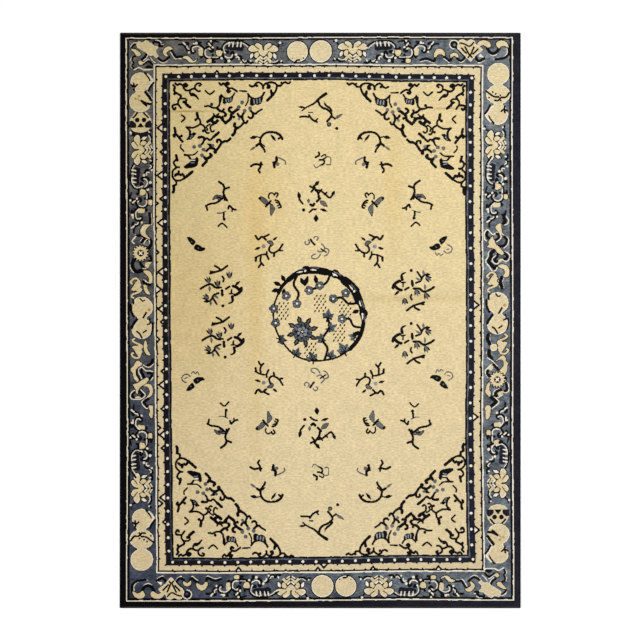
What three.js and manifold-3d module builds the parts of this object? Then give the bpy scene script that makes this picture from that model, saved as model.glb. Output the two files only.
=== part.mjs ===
// A hand-knotted wool carpet lying face up: one piece of cloth, woven with its pile,
// its overcast side cords and its flat-woven end webs. Millimetres, +Z up, the floor at
// z = 0, +X across the warps and +Y along them, with the origin under the middle.
import * as THREE from "three";
import { mergeVertices } from "three/addons/utils/BufferGeometryUtils.js";
import Module from "manifold-3d";

// The carpet as it came off the loom
const WIDTH = 2743; // 9 ft, over both side cords
const LENGTH = 3937; // 12 ft 11 in, over both end webs
const LEFT_LEAN = 2.7; // how far the -X side runs outwards from the +Y end to the -Y end

// Its thickness, from the floor up
const GROUND = 3; // cotton warps and wefts, with the backs of the knots
const PILE = 7; // sheared wool above the ground

// Its four edges
const CORD = 7; // diameter of the warps that are overcast along each side
const WEB = 9; // plain weave beyond the last row of knots
const WEB_THICK = 2.5; // the web has no knots, so it lies a little lower than the ground
const WORN_EDGE = 3; // rounding of the pile where it meets the cords and webs
const EDGE_STEPS = 4; // facets of that rounding
const CORD_SIDES = 12;
const TUCK = 0.6; // how far one part of the weave runs on into the next

const wasm = await Module();
wasm.setup();

// Half the width to the -X side at a place along the warps
function leftSide(y) {
  return WIDTH / 2 - LEFT_LEAN * (0.5 + y / LENGTH);
}

// The carpet's outline, taken in from its sides and from its ends
function outline(fromSides, fromEnds) {
  const end = LENGTH / 2 - fromEnds;
  return new THREE.Shape([
    new THREE.Vector2(WIDTH / 2 - fromSides, -end),
    new THREE.Vector2(WIDTH / 2 - fromSides, end),
    new THREE.Vector2(fromSides - leftSide(end), end),
    new THREE.Vector2(fromSides - leftSide(-end), -end),
  ]);
}

function solid(geometry) {
  geometry.deleteAttribute("normal");
  geometry.deleteAttribute("uv");
  const merged = mergeVertices(geometry, 1e-3);
  return new wasm.Manifold(
    new wasm.Mesh({
      numProp: 3,
      vertProperties: new Float32Array(merged.attributes.position.array),
      triVerts: new Uint32Array(merged.index.array),
    }),
  );
}

// Plain weave from end to end: the webs show of it, and the ground lies over it
function webs() {
  const weave = outline(CORD / 2, 0);
  return solid(new THREE.ExtrudeGeometry(weave, { depth: WEB_THICK, bevelEnabled: false }));
}

// The part that is knotted, up to the foot of the pile
function ground() {
  const knotted = outline(CORD - TUCK, WEB - TUCK);
  return solid(new THREE.ExtrudeGeometry(knotted, { depth: GROUND, bevelEnabled: false }));
}

// The sheared wool, rounded off all round its top edge
function pile() {
  const straight = PILE - WORN_EDGE + TUCK;
  const block = new THREE.ExtrudeGeometry(outline(CORD + WORN_EDGE, WEB + WORN_EDGE), {
    depth: straight,
    bevelEnabled: true,
    bevelThickness: WORN_EDGE,
    bevelSize: WORN_EDGE,
    bevelSegments: EDGE_STEPS,
  });
  block.translate(0, 0, GROUND - TUCK);
  const below = new THREE.ExtrudeGeometry(outline(-CORD, -WEB), {
    depth: 2 * WORN_EDGE,
    bevelEnabled: false,
  });
  below.translate(0, 0, GROUND - TUCK - 2 * WORN_EDGE);
  return solid(block).subtract(solid(below));
}

// One overcast side cord, from its middle at one end to its middle at the other
function sideCord(from, to) {
  const round = new THREE.Shape();
  round.absarc(0, 0, CORD / 2, 0, 2 * Math.PI);
  const along = new THREE.LineCurve3(from, to);
  const cord = new THREE.ExtrudeGeometry(round, {
    curveSegments: CORD_SIDES,
    steps: 1,
    extrudePath: along,
  });
  return solid(cord);
}

function sideCords() {
  const end = LENGTH / 2;
  const middle = CORD / 2;
  const right = WIDTH / 2 - middle;
  return [
    sideCord(new THREE.Vector3(right, -end, middle), new THREE.Vector3(right, end, middle)),
    sideCord(
      new THREE.Vector3(middle - leftSide(-end), -end, middle),
      new THREE.Vector3(middle - leftSide(end), end, middle),
    ),
  ];
}

function meshOf(name, shape, material) {
  const { vertProperties, triVerts } = shape.getMesh();
  const geometry = new THREE.BufferGeometry();
  geometry.setAttribute("position", new THREE.BufferAttribute(vertProperties, 3));
  geometry.setIndex(new THREE.BufferAttribute(triVerts, 1));
  geometry.computeVertexNormals();
  const mesh = new THREE.Mesh(geometry, material);
  mesh.name = name;
  return mesh;
}

const wool = new THREE.MeshStandardMaterial({ color: 0xd9c391, roughness: 0.95, metalness: 0 });
const woven = [ground(), pile(), ...sideCords()].reduce((all, next) => all.add(next), webs());

const carpet = new THREE.Group();
carpet.add(meshOf("rug", woven, wool));

export default carpet;
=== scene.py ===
import math

import bpy
import numpy as np
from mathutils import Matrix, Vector
from mathutils.geometry import delaunay_2d_cdt


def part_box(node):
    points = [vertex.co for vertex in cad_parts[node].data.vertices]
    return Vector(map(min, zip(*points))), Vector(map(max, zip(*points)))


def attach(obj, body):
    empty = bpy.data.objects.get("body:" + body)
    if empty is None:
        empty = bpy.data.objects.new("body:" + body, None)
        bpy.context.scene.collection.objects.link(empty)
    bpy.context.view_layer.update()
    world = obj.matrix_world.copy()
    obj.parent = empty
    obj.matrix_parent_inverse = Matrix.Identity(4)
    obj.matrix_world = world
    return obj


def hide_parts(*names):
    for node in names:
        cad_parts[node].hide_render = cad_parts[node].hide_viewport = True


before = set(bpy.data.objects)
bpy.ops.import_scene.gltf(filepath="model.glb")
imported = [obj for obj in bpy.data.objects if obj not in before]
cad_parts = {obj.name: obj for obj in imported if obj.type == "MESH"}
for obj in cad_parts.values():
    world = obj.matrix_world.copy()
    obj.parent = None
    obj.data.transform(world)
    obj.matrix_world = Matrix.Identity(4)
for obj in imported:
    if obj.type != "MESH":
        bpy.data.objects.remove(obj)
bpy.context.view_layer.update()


# The room: a white floor, soft daylight from a bank on the right and a lower one on the
# left, and a camera that hangs straight over the middle of the carpet.

RUG_LOW, RUG_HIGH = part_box("rug")
RUG_WIDTH = RUG_HIGH[0] - RUG_LOW[0]
RUG_LENGTH = RUG_HIGH[1] - RUG_LOW[1]
RUG_TOP = RUG_HIGH[2]
PICTURE_SIDE = 640  # pixels
RUG_IN_PICTURE = 401.2  # pixels across the carpet
RUG_OFF_MIDDLE = (0.15, -0.44)  # pixels from the picture's middle to the carpet's, right and up
LENS = 100
FLOOR_SIDE = 40.0


def linear(hex_colour):
    """sRGB hex to the linear colour that the shaders take."""
    channels = [int(hex_colour[i : i + 2], 16) / 255 for i in (1, 3, 5)]
    return tuple(c / 12.92 if c <= 0.04045 else ((c + 0.055) / 1.055) ** 2.4 for c in channels) + (1,)


def node(tree, kind, inputs=(), **settings):
    """Adds a node; inputs are (socket, value) or (socket, output of another node)."""
    made = tree.nodes.new(kind)
    for name, value in settings.items():
        setattr(made, name, value)
    for socket, value in inputs:
        if isinstance(value, bpy.types.NodeSocket):
            tree.links.new(value, made.inputs[socket])
        else:
            made.inputs[socket].default_value = value
    return made


def add_floor():
    bpy.ops.mesh.primitive_plane_add(size=FLOOR_SIDE)
    floor = bpy.context.object
    floor.name = "floor"
    paint = bpy.data.materials.new("white floor paint")
    paint.use_nodes = True
    shader = paint.node_tree.nodes["Principled BSDF"]
    shader.inputs["Base Color"].default_value = linear("#f7f7f6")
    shader.inputs["Roughness"].default_value = 0.9
    floor.data.materials.append(paint)


def add_light(name, place, size, watts):
    bpy.ops.object.light_add(type="AREA", location=place)
    light = bpy.context.object
    light.name = name
    light.data.shape = "SQUARE"
    light.data.size = size
    light.data.energy = watts
    light.rotation_euler = (-Vector(place)).to_track_quat("-Z", "Y").to_euler()


def add_camera():
    metres_per_pixel = RUG_WIDTH / RUG_IN_PICTURE
    bpy.ops.object.camera_add()
    camera = bpy.context.object
    camera.data.lens = LENS
    height = metres_per_pixel * PICTURE_SIDE * LENS / camera.data.sensor_width
    camera.location = (
        -RUG_OFF_MIDDLE[0] * metres_per_pixel,
        -RUG_OFF_MIDDLE[1] * metres_per_pixel,
        RUG_TOP + height,
    )
    bpy.context.scene.camera = camera


def add_sky():
    world = bpy.data.worlds.new("studio")
    world.use_nodes = True
    world.node_tree.nodes["Background"].inputs["Color"].default_value = (1, 1, 1, 1)
    world.node_tree.nodes["Background"].inputs["Strength"].default_value = 0.55
    bpy.context.scene.world = world


add_floor()
add_light("bank on the right", (4.5, 1.0, 5.5), 4.0, 244)
add_light("bank on the left", (-4.5, -1.0, 6.0), 4.0, 249)
add_camera()
add_sky()
bpy.context.scene.view_settings.view_transform = "Standard"


# The cartoon: the full-size drawing that the weavers followed. It is ruled in squares of
# two knots each way, counted from its middle, to the right and down as it is read.

KNOT = 0.00342  # both ways
SIDE_CORD = 0.007
END_WEB = 0.009
COLUMNS = round((RUG_WIDTH - 2 * SIDE_CORD) / KNOT)
ROWS = round((RUG_LENGTH - 2 * END_WEB) / KNOT)
YARNS = FIELD, IVORY, CREAM, TAN, SLATE, MIST, DOVE, NAVY, MIDNIGHT, INK = range(10)


def smooth_curve(points, closed):
    """Rounds a drawn line: a spline through its points, in short straight steps."""
    steps = 5
    ends = (points[-1:] + points + points[:2]) if closed else (points[:1] + points + points[-1:])
    p = np.array(ends, float)
    before, start, end, after = p[:-3, None], p[1:-2, None], p[2:-1, None], p[3:, None]
    t = (np.arange(steps) / steps)[None, :, None]
    curve = 0.5 * (
        2 * start
        + (end - before) * t
        + (2 * before - 5 * start + 4 * end - after) * t**2
        + (3 * start - before - 3 * end + after) * t**3
    ).reshape(-1, 2)
    return curve if closed else np.vstack([curve, p[-1:]])


class Cartoon:
    """The drawing as one motif sees it, from its own middle, turned and sized as it is there."""

    def __init__(self, knots, middle=(0, 0), turned=((1, 0), (0, 1))):
        self.knots = knots
        self.middle = np.array(middle, float)
        self.turned = np.array(turned, float)

    def at(self, x, y, turn=0, flip=False, size=1.0):
        """A place for a motif. It is flipped left to right, then turned clockwise by degrees."""
        angle = math.radians(turn)
        across = -1 if flip else 1
        turned = size * np.array(
            [[across * math.cos(angle), -math.sin(angle)], [across * math.sin(angle), math.cos(angle)]]
        )
        return Cartoon(self.knots, self.middle + self.turned @ (x, y), self.turned @ turned)

    def scale(self):
        return math.sqrt(abs(np.linalg.det(self.turned)))

    def window(self, outline, margin):
        """The knots round an outline, as a slice of the cartoon and the place of each."""
        low = np.floor((outline.min(axis=0) - margin) * 2 + (COLUMNS / 2, ROWS / 2)).astype(int)
        high = np.ceil((outline.max(axis=0) + margin) * 2 + (COLUMNS / 2, ROWS / 2)).astype(int)
        low = np.clip(low, 0, (COLUMNS, ROWS))
        high = np.clip(high, 0, (COLUMNS, ROWS))
        across = (np.arange(low[0], high[0]) + 0.5 - COLUMNS / 2) / 2
        down = (np.arange(low[1], high[1]) + 0.5 - ROWS / 2) / 2
        places = np.stack(np.meshgrid(across, down), axis=-1)
        return self.knots[low[1] : high[1], low[0] : high[0]], places

    def fill(self, yarn, outline):
        """Knots inside a closed outline that is given in whole-cartoon squares."""
        knots, places = self.window(outline, 0)
        inside = np.zeros(knots.shape, bool)
        for (x0, y0), (x1, y1) in zip(outline, np.roll(outline, -1, axis=0)):
            first, last = np.searchsorted(places[:, 0, 1], (min(y0, y1), max(y0, y1)))
            if first < last:
                rows = places[first:last]
                inside[first:last] ^= rows[..., 0] < x0 + (rows[..., 1] - y0) * (x1 - x0) / (y1 - y0)
        knots[inside] = yarn

    def trail(self, yarn, curve, widths):
        """Knots along a curve that is given in whole-cartoon squares, as wide as widths says."""
        knots, places = self.window(curve, max(widths) / 2)
        for a, b, w in zip(curve[:-1], curve[1:], widths):
            along = b - a
            share = np.clip(((places - a) @ along) / max(along @ along, 1e-9), 0, 1)
            away = np.linalg.norm(places - a - share[..., None] * along, axis=-1)
            knots[away <= w / 2] = yarn

    def line(self, yarn, width, *points, taper=0.0):
        """A drawn line; taper is how much thinner it is at its last point, 1 for a sharp one."""
        curve = self.middle + smooth_curve(list(points), False) @ self.turned.T
        widths = self.scale() * width * (1 - taper * np.linspace(0, 1, len(curve)))
        self.trail(yarn, curve, widths)

    def patch(self, yarn, *points, edge=None, smooth=True):
        """A filled shape; edge is (yarn, width) of a line round it."""
        curve = smooth_curve(list(points), True) if smooth else np.array(points, float)
        outline = self.middle + curve @ self.turned.T
        if edge:
            closed = np.vstack([outline, outline[:1]])
            self.trail(edge[0], closed, np.full(len(closed), 2 * edge[1] * self.scale()))
        self.fill(yarn, outline)

    def dot(self, yarn, x, y, radius, edge=None):
        round_it = [
            (x + radius * math.cos(a), y + radius * math.sin(a))
            for a in np.linspace(0, 2 * math.pi, 24, endpoint=False)
        ]
        self.patch(yarn, *round_it, edge=edge, smooth=False)

    def arc(self, yarn, width, x, y, radius, start, end, shrink=0.0):
        """Part of a circle or, with shrink, a curl inwards, between clockwise degrees from the right."""
        turns = np.radians(np.linspace(start, end, max(4, int(abs(end - start) / 20))))
        radii = radius * (1 - shrink * np.linspace(0, 1, len(turns)))
        points = [(x + r * math.cos(a), y + r * math.sin(a)) for a, r in zip(turns, radii)]
        self.line(yarn, width, *points)

    def leaf(self, yarn, x, y, turn, length, width, edge=None):
        """A pointed leaf from its stalk at x, y; it points right before it is turned clockwise."""
        half = width / 2
        there = self.at(x, y, turn)
        sides = ((0, 0), (0.3, half * 0.85), (0.55, half), (0.85, half * 0.4), (1, 0))
        over = [(length * a, -b) for a, b in sides]
        under = [(length * a, b) for a, b in sides[-2:0:-1]]
        there.patch(yarn, *over, *under, edge=edge)


cartoon = Cartoon(np.full((ROWS, COLUMNS), MIDNIGHT, np.int8))


# The bands, from the edge inwards: each is laid on the last, and the beads of the pearl band
# are strung on its middle line, more closely on some sides than others. The loom never kept
# a line straight, so each line wanders a little on its way along each side.

BANDS = (
    # line that it follows, yarn, left, top, right, bottom
    ("outer", IVORY, -194.2, -283.2, 192.9, 280.3),
    ("outer", INK, -193.1, -282.2, 191.7, 279.1),
    ("outer", SLATE, -190.8, -280.4, 189.5, 276.9),
    ("inner", IVORY, -166.5, -256.3, 163.1, 252.3),
    ("inner", INK, -165.1, -254.9, 161.8, 250.9),
    ("inner", CREAM, -163.6, -253.3, 160.1, 249.3),
    ("field", NAVY, -158.1, -247.8, 153.8, 244.1),
    ("field", SLATE, -152.9, -242.8, 148.3, 239.1),
    ("field", INK, -151.7, -241.5, 147.1, 237.9),
    ("field", FIELD, -149.9, -239.8, 145.3, 236.1),
)
WANDERS = {
    # line: squares to the right at six places down its left and right sides, then squares
    # down at five places along its top and bottom
    "outer": (
        (-0.6, -0.6, 0, 0.3, 1, 0.2), (-0.2, -0.6, -0.3, 0.4, -0.1, 1.1),
        (0.5, 0.6, -0.2, -0.6, -0.1), (0.7, 0.6, 0, -1, -0.3),
    ),
    "inner": (
        (-0.4, -0.5, -0.5, 0.6, 1.6, 2.7), (-0.2, -0.3, -0.2, 0.2, -0.4, 1.6),
        (0.2, -0.3, -0.4, 0.4, 0.7), (0.7, 0.7, 0.2, -1, -1.2),
    ),
    "field": (
        (-0.4, -0.2, -0.1, 0.5, 1.9, 3.5), (0.4, -0.4, -0.4, 0.5, -0.5, 1.5),
        (0.8, 0, -0.5, 1.2, 2.4), (1, 0.7, -0.1, -1.8, -2.3),
    ),
}
PLACES_DOWN = (-240, -205, -120, 0, 120, 240)
PLACES_ACROSS = (-160, -80, 0, 80, 160)
JITTER = 0.2  # squares by which a line steps to and fro from knot to knot
BEAD_ROWS = (
    # the beads' middle line: its side, place across that side, then bead numbers and where
    # those beads lie, with the beads between them spaced evenly
    ("top", -244.5, (0, 6, 12, 18, 23), (-154.3, -77.8, 8.9, 89.0, 151.2)),
    ("bottom", 240.9, (0, 23), (-151.1, 151.4)),
    ("left", -154.9, (1, 4, 10, 20, 30, 38), (-230.6, -191.9, -123.6, -3.6, 123.9, 229.6)),
    ("right", 150.3, (1, 6, 14, 23, 31), (-230.1, -167.4, -41.4, 98.7, 226.6)),
)
BEAD = 1.4  # radius


def bent(line, x, y):
    """Where a place of the straight frame lies on the carpet, by the line that it goes with."""
    left, right, top, bottom = WANDERS[line]
    to_right = np.clip(x / 310 + 0.5, 0, 1)
    to_bottom = np.clip(y / 480 + 0.5, 0, 1)
    left_off, right_off = np.interp(y, PLACES_DOWN, left), np.interp(y, PLACES_DOWN, right)
    top_off, bottom_off = np.interp(x, PLACES_ACROSS, top), np.interp(x, PLACES_ACROSS, bottom)
    x_off = (1 - to_right) * left_off + to_right * right_off
    y_off = (1 - to_bottom) * top_off + to_bottom * bottom_off
    x_step = JITTER * (math.sin(0.83 * y) + math.sin(0.37 * y + 0.9 * x))
    y_step = JITTER * (math.sin(0.71 * x) + math.sin(0.41 * x + 0.8 * y))
    return x + x_off + x_step / 2, y + y_off + y_step / 2


def draw_bands():
    for line, yarn, left, top, right, bottom in BANDS:
        across = np.linspace(left, right, 150)[:-1]
        down = np.linspace(top, bottom, 220)[:-1]
        around = [(x, top) for x in across] + [(right, y) for y in down]
        around += [(left + right - x, bottom) for x in across] + [(left, top + bottom - y) for y in down]
        cartoon.patch(yarn, *(bent(line, x, y) for x, y in around), smooth=False)


def draw_pearls():
    for side, line, numbers, places in BEAD_ROWS:
        for bead in range(numbers[0], numbers[-1] + 1):
            along = np.interp(bead, numbers, places)
            x, y = (along, line) if side in ("top", "bottom") else (line, along)
            cartoon.dot(IVORY, *bent("field", x, y), BEAD)


draw_bands()
draw_pearls()


# The broad border's flowers: an open lotus seen from the side, a comb of seeds under an arched
# stalk, and a vine that scrolls away from them. Each is drawn with the carpet's edge above it.


def lotus(c):
    c.patch(INK, (-10, -3), (0, -6), (10, -3), (10, 3), (7, 7), (0, 10.6), (-7, 7), (-10, 3))
    c.line(INK, 1.8, (14.5, -6.7), (16.2, -10), (19.4, -10.6))
    c.dot(IVORY, 16.9, -11.4, 1.2)
    c.line(INK, 2.1, (7.8, 8.8), (12.8, 9.3), (16.2, 7.6), (19.6, 8.9))
    c.line(IVORY, 0.8, (8.2, 7.4), (11.2, 8.1), (14.5, 6.4))
    c.leaf(IVORY, 17.2, 8, -50, 2.6, 1.4)
    for half in (c, c.at(0, 0, flip=True)):
        half.patch(
            CREAM, (3, -4.2), (6.4, -7), (10.8, -8.6), (14.4, -6.2), (14.6, -3.6), (11, -2.1), (6, -2.8),
            edge=(INK, 0.9),
        )
        half.patch(
            CREAM, (0.8, -5), (1.5, -8.2), (5.2, -10.8), (7.8, -10.1), (8, -8.2), (5, -5.9), (2.4, -4.2),
            edge=(INK, 0.9),
        )
        half.line(IVORY, 0.8, (1.8, -8), (5.2, -10.2), (7.3, -9.6))
        half.line(IVORY, 0.8, (10.8, -8), (13.9, -5.9), (14, -3.9), (11.4, -2.7))
        half.patch(CREAM, (6.3, -1.9), (8.8, 0), (8.8, 2.3), (7.4, 4.2), (4.9, 2.1), (4.5, -0.6))
        half.leaf(IVORY, 10.6, -0.8, 68, 6.2, 3, edge=(INK, 0.9))
        half.line(CREAM, 2.6, (4.6, 4.4), (7.2, 7.4))
        half.line(IVORY, 1.6, (3.1, 2.7), (0.9, 4.8))
        half.line(CREAM, 1.8, (3.5, 5.7), (1, 7.8))
        half.line(IVORY, 1.1, (4.2, 8.3), (1.4, 10.1))
    c.patch(CREAM, (-5, -4), (0, -4.8), (5, -4), (3.4, 0), (0, 2.3), (-3.4, 0))
    c.line(INK, 1.6, (0, -6), (0.3, -4.2))


def seed_comb(c):
    c.line(
        INK, 1.9, (-12.4, -3.4), (-11.6, -8.2), (-7.8, -11.8), (-2.4, -12.8), (4, -12.6), (8.6, -11.8),
        (12.4, -10), (16.4, -7.4),
    )
    c.line(IVORY, 0.8, (-9.6, -1.4), (-10.8, -5.5), (-10.3, -7.8), (-8.5, -9.6), (-6, -11), (-2, -11.6))
    c.line(IVORY, 0.8, (8.6, -10.8), (12, -8.4), (15.3, -5.5))
    c.patch(
        NAVY, (-9, -6.8), (-7.4, -9), (0, -9.4), (8, -9.2), (9.4, -7), (8.8, -3.8), (6.4, -2.8), (1, -3.6),
        (-4, -3.8), (-7.4, -4.4),
    )
    for x in (-5.2, -1.3, 3.1, 6.6):
        c.line(IVORY, 1.5, (x + 0.4, -11.2), (x - 0.3, -7.4), taper=0.3)
    c.dot(IVORY, -9.4, -1.4, 1)
    c.line(INK, 2.4, (-7.4, -0.8), (-5.9, -2.2), (-8.4, -2.6))
    c.line(
        INK, 2.4, (-3.6, 0), (-2.4, -1.8), (-1.1, -1.4), (-0.2, 1.7), (-1.1, 4.4), (-3.2, 5.6), (-5.3, 5.9),
    )
    c.line(IVORY, 1.1, (-10.6, 1.7), (-7.8, 3.4), (-5.3, 4.1), (-2.8, 2.9), (-1.9, 0.8))
    c.line(INK, 2.4, (-11.2, 2.5), (-9.9, 5), (-7.4, 7.4), (-9.5, 8.2))
    c.dot(IVORY, -5.5, 7, 1.4)
    c.dot(IVORY, 1.6, 0.8, 1.3)
    c.line(INK, 2.5, (4, 2), (6.1, 2.5), (7.3, 5), (9.4, 8.4), (11.6, 9.2))
    c.line(IVORY, 1.2, (1.9, 3.5), (3.5, 3), (4.7, 4.6), (4.4, 5.9))
    c.line(IVORY, 0.8, (8.2, 5.9), (10.3, 8), (12.6, 6.5))
    c.dot(IVORY, 6.8, 8.6, 1)
    c.line(INK, 2.4, (13.2, 7), (15.1, 8.9), (18.5, 8.9))
    c.leaf(IVORY, 15.9, 8.2, -65, 3, 1.5)


def scroll_vine(c):
    c.line(INK, 2.1, (-21.6, -9.4), (-17.3, -9.3), (-15.1, -7.1), (-13.6, -4.4), (-11.4, -3.4))
    c.line(INK, 2.2, (-14.8, -11.2), (-12.4, -10.6), (-11.8, -9.3), (-13.4, -9))
    c.line(IVORY, 1.4, (-17, -11.6), (-15, -9.2))
    c.line(IVORY, 1, (-13.4, -8.3), (-13, -5.9), (-10.6, -4.5))
    c.dot(IVORY, -11.3, -1.5, 1.1)
    c.line(INK, 2.3, (-5.3, -2.8), (-6.9, -1), (-9, -1.6), (-9.8, -4.4), (-9, -6.8), (-6.9, -8.5), (-4, -8.7))
    c.line(INK, 2.3, (-2.6, -11.6), (0.4, -11.5))
    c.line(INK, 2.3, (-1.9, -10.4), (1, -7.9), (3.2, -5.4), (4.2, -4.3), (3.5, -0.7), (3.2, 1.2))
    c.patch(
        IVORY, (-7.5, -9.5), (-7.2, -11.2), (-5.6, -10.6), (-4.4, -12.4), (-2.9, -11.6), (-2.9, -9.5),
        smooth=False,
    )
    c.patch(CREAM, (-1.7, -5.2), (0.5, -5.4), (2.6, -3.8), (3, -0.6), (2.3, 1.5), (-1.3, 1.2), (-1.8, -2.2))
    c.line(
        IVORY, 1, (-6.9, -2.4), (-8, -3.9), (-7.8, -5.9), (-6.2, -7.1), (-3.2, -7.6), (-0.7, -6.8),
        (1.7, -5), (2.6, -3.6),
    )
    c.patch(INK, (-1.2, 2.4), (3, 2.2), (1.1, 5))
    c.line(INK, 2.3, (3.9, -3.8), (3.5, 1.1), (5.4, 3.7), (8.1, 4.8), (10.9, 4.8))
    c.line(
        IVORY, 1.1, (10, -4.1), (8.4, -5.9), (6, -4.7), (4.8, -2.5), (4.8, 0.5), (6, 2.4), (8.1, 3.5),
        (10.3, 3.3),
    )
    c.line(INK, 2.5, (5.4, -5.6), (6.9, -6.8), (10, -7.1), (12.7, -3.8), (11.2, -2), (9.4, -3.1))
    c.patch(
        CREAM, (5.8, 7.6), (6.6, 5.5), (9, 5.1), (11.2, 5.5), (11.2, 8.4), (9.1, 9.3), (6.6, 8.8),
        edge=(INK, 0.9),
    )
    c.line(INK, 2.3, (6.6, -10.2), (8.4, -12), (10.3, -10.8), (11.8, -8))
    c.line(INK, 2.4, (11.8, -10.8), (12.4, -12.6), (15.2, -12.6), (18.5, -11.7), taper=0.4)
    c.line(IVORY, 1.4, (8.4, -10.5), (10.2, -8.2))
    c.dot(IVORY, 10.6, -12.7, 1)
    c.dot(IVORY, 12.3, -6.5, 1.1)
    c.dot(INK, 12.4, 1.4, 1.4)
    c.line(INK, 2.3, (12.1, 5.1), (14.3, 5.1), (18.2, 4.2), (21, 2.4), (22.5, 0.5))
    c.line(INK, 2.4, (12.4, 5.4), (12.4, 8.2), (14.6, 7.9))
    c.line(IVORY, 0.8, (12.4, 3.5), (15.8, 3.6), (18.9, 2.7), (21, 1.1))
    c.patch(CREAM, (15.8, -3.2), (21.3, -3.8), (21.6, -0.1), (19.5, 2.5), (16.4, 1.1), edge=(INK, 0.8))
    c.line(INK, 2.2, (17, -6.5), (17.3, -4.7), (21.6, -4.7))
    c.dot(IVORY, 21.3, 4.3, 1.2)


# The broad border's treasures: a knotted cloud and a fan tied with long ribbons, round fruits,
# gourds of two and three bulbs, a mask-like vase, a notched coin and crossed ribbons. A ribbon
# is dark with a pale selvedge and turns its cream side out at its ends.


def ribbon(c, *points, width=2.5, above=None, below=None):
    """A dark ribbon with a pale line on the sides named: above and below are (across, down)."""
    for side in (above, below):
        if side:
            c.line(IVORY, 0.8, *[(x + side[0], y + side[1]) for x, y in points])
    c.line(INK, width, *points)


def tied_cloud(c):
    ribbon(c, (-8.8, -4.7), (-11.5, -4.7), (-14.2, -2.5), (-14.6, -0.7), width=1.9, above=(-0.8, -1.4))
    c.patch(
        CREAM, (-15.4, 0.2), (-12.4, 0.2), (-9.3, 1.5), (-6.2, 3.8), (-5.7, 6), (-7.9, 7.3), (-10.2, 6.4),
        (-12, 3.8), edge=(INK, 0.8),
    )
    ribbon(c, (6.3, -5.2), (7.7, -7), (10.8, -7), (13.5, -5.2), (13, -2.9), (16, -2.9), above=(1.2, -1.5))
    ribbon(c, (10.8, 8.2), (14.4, 11.3), (17.1, 12.2), (19.7, 10.9), (22.9, 8.2), below=(0, 1.8))
    c.patch(
        CREAM, (16.6, 2.4), (18.8, -1.2), (22.4, -2.5), (25.5, -1.2), (26, 0.2), (23.3, 1.1), (20.6, 2.9),
        (20.2, 4.6), (21.6, 7.2), (19.4, 7.4), (17.1, 4.8), edge=(INK, 0.8),
    )
    ribbon(c, (25.3, 1.6), (27.8, 5.5), (30, 8.2), (33.1, 7.8), (36.3, 7.8), below=(-1.2, 1.5))
    c.patch(
        CREAM, (36.3, 8.7), (38.9, 6.9), (42.1, 7.3), (45.2, 10), (47, 12), (50.8, 10.2), (48.8, 12.7),
        (45.6, 13.6), (42.5, 12.7), (39.8, 10), edge=(INK, 0.8),
    )
    c.line(IVORY, 0.8, (38, 8.6), (42, 9.4), (45, 12.2), (48.4, 12.2))
    ribbon(c, (0.5, 4.6), (-1.3, 7.8), (-4.4, 10.4), below=(1.4, 1.2))
    ribbon(
        c, (-11.1, 7.3), (-13.4, 8.2), (-14.2, 11.3), (-12.9, 14), (-14.4, 16.7), (-12.7, 19.6), width=2,
        above=(-1.3, 0),
    )
    c.patch(
        CREAM, (-7.9, 13.1), (-6.2, 11.6), (-4.2, 12.7), (-2.6, 14), (-4.8, 15.8), (-7.1, 15.4),
        edge=(INK, 0.9),
    )
    c.line(IVORY, 0.8, (-3, 14), (-0.4, 11.8), (1.9, 10.4), (3.7, 12.2), (7.2, 15.4))
    c.line(INK, 2, (-3, 15.6), (1.9, 12.2), (3.9, 13.4), (6.3, 15.8))
    c.line(IVORY, 0.8, (4.1, 8.7), (6.3, 11.8), (9, 13.8))
    c.patch(INK, (-1.6, 18.9), (1.9, 16.2), (5.9, 17.8), (5.4, 19.4))
    c.line(IVORY, 1.2, (-12.4, 21), (-10, 19.6), (-7.9, 18.6), (-5.3, 19.4), (-2.6, 20.7), (6.3, 20.4))
    c.patch(
        CREAM, (-8.8, -5.6), (-7.6, -7.4), (-5.3, -6.3), (-2.6, -6.3), (-0.8, -8.2), (1.9, -7.4),
        (3.2, -5.9), (5.4, -5.2), (7.2, -2.9), (11.7, -1.8), (9.4, 0.4), (9.3, 2.6), (9.9, 4.6),
        (11.9, 6.9), (9.6, 8.4), (7.2, 6), (4.1, 6.4), (1.4, 4.6), (-1.3, 2.4), (-3.9, 1.1), (-6.2, -0.3),
        (-8.8, -2.1), (-9.4, -3.8), edge=(IVORY, 0.5),
    )


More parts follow.
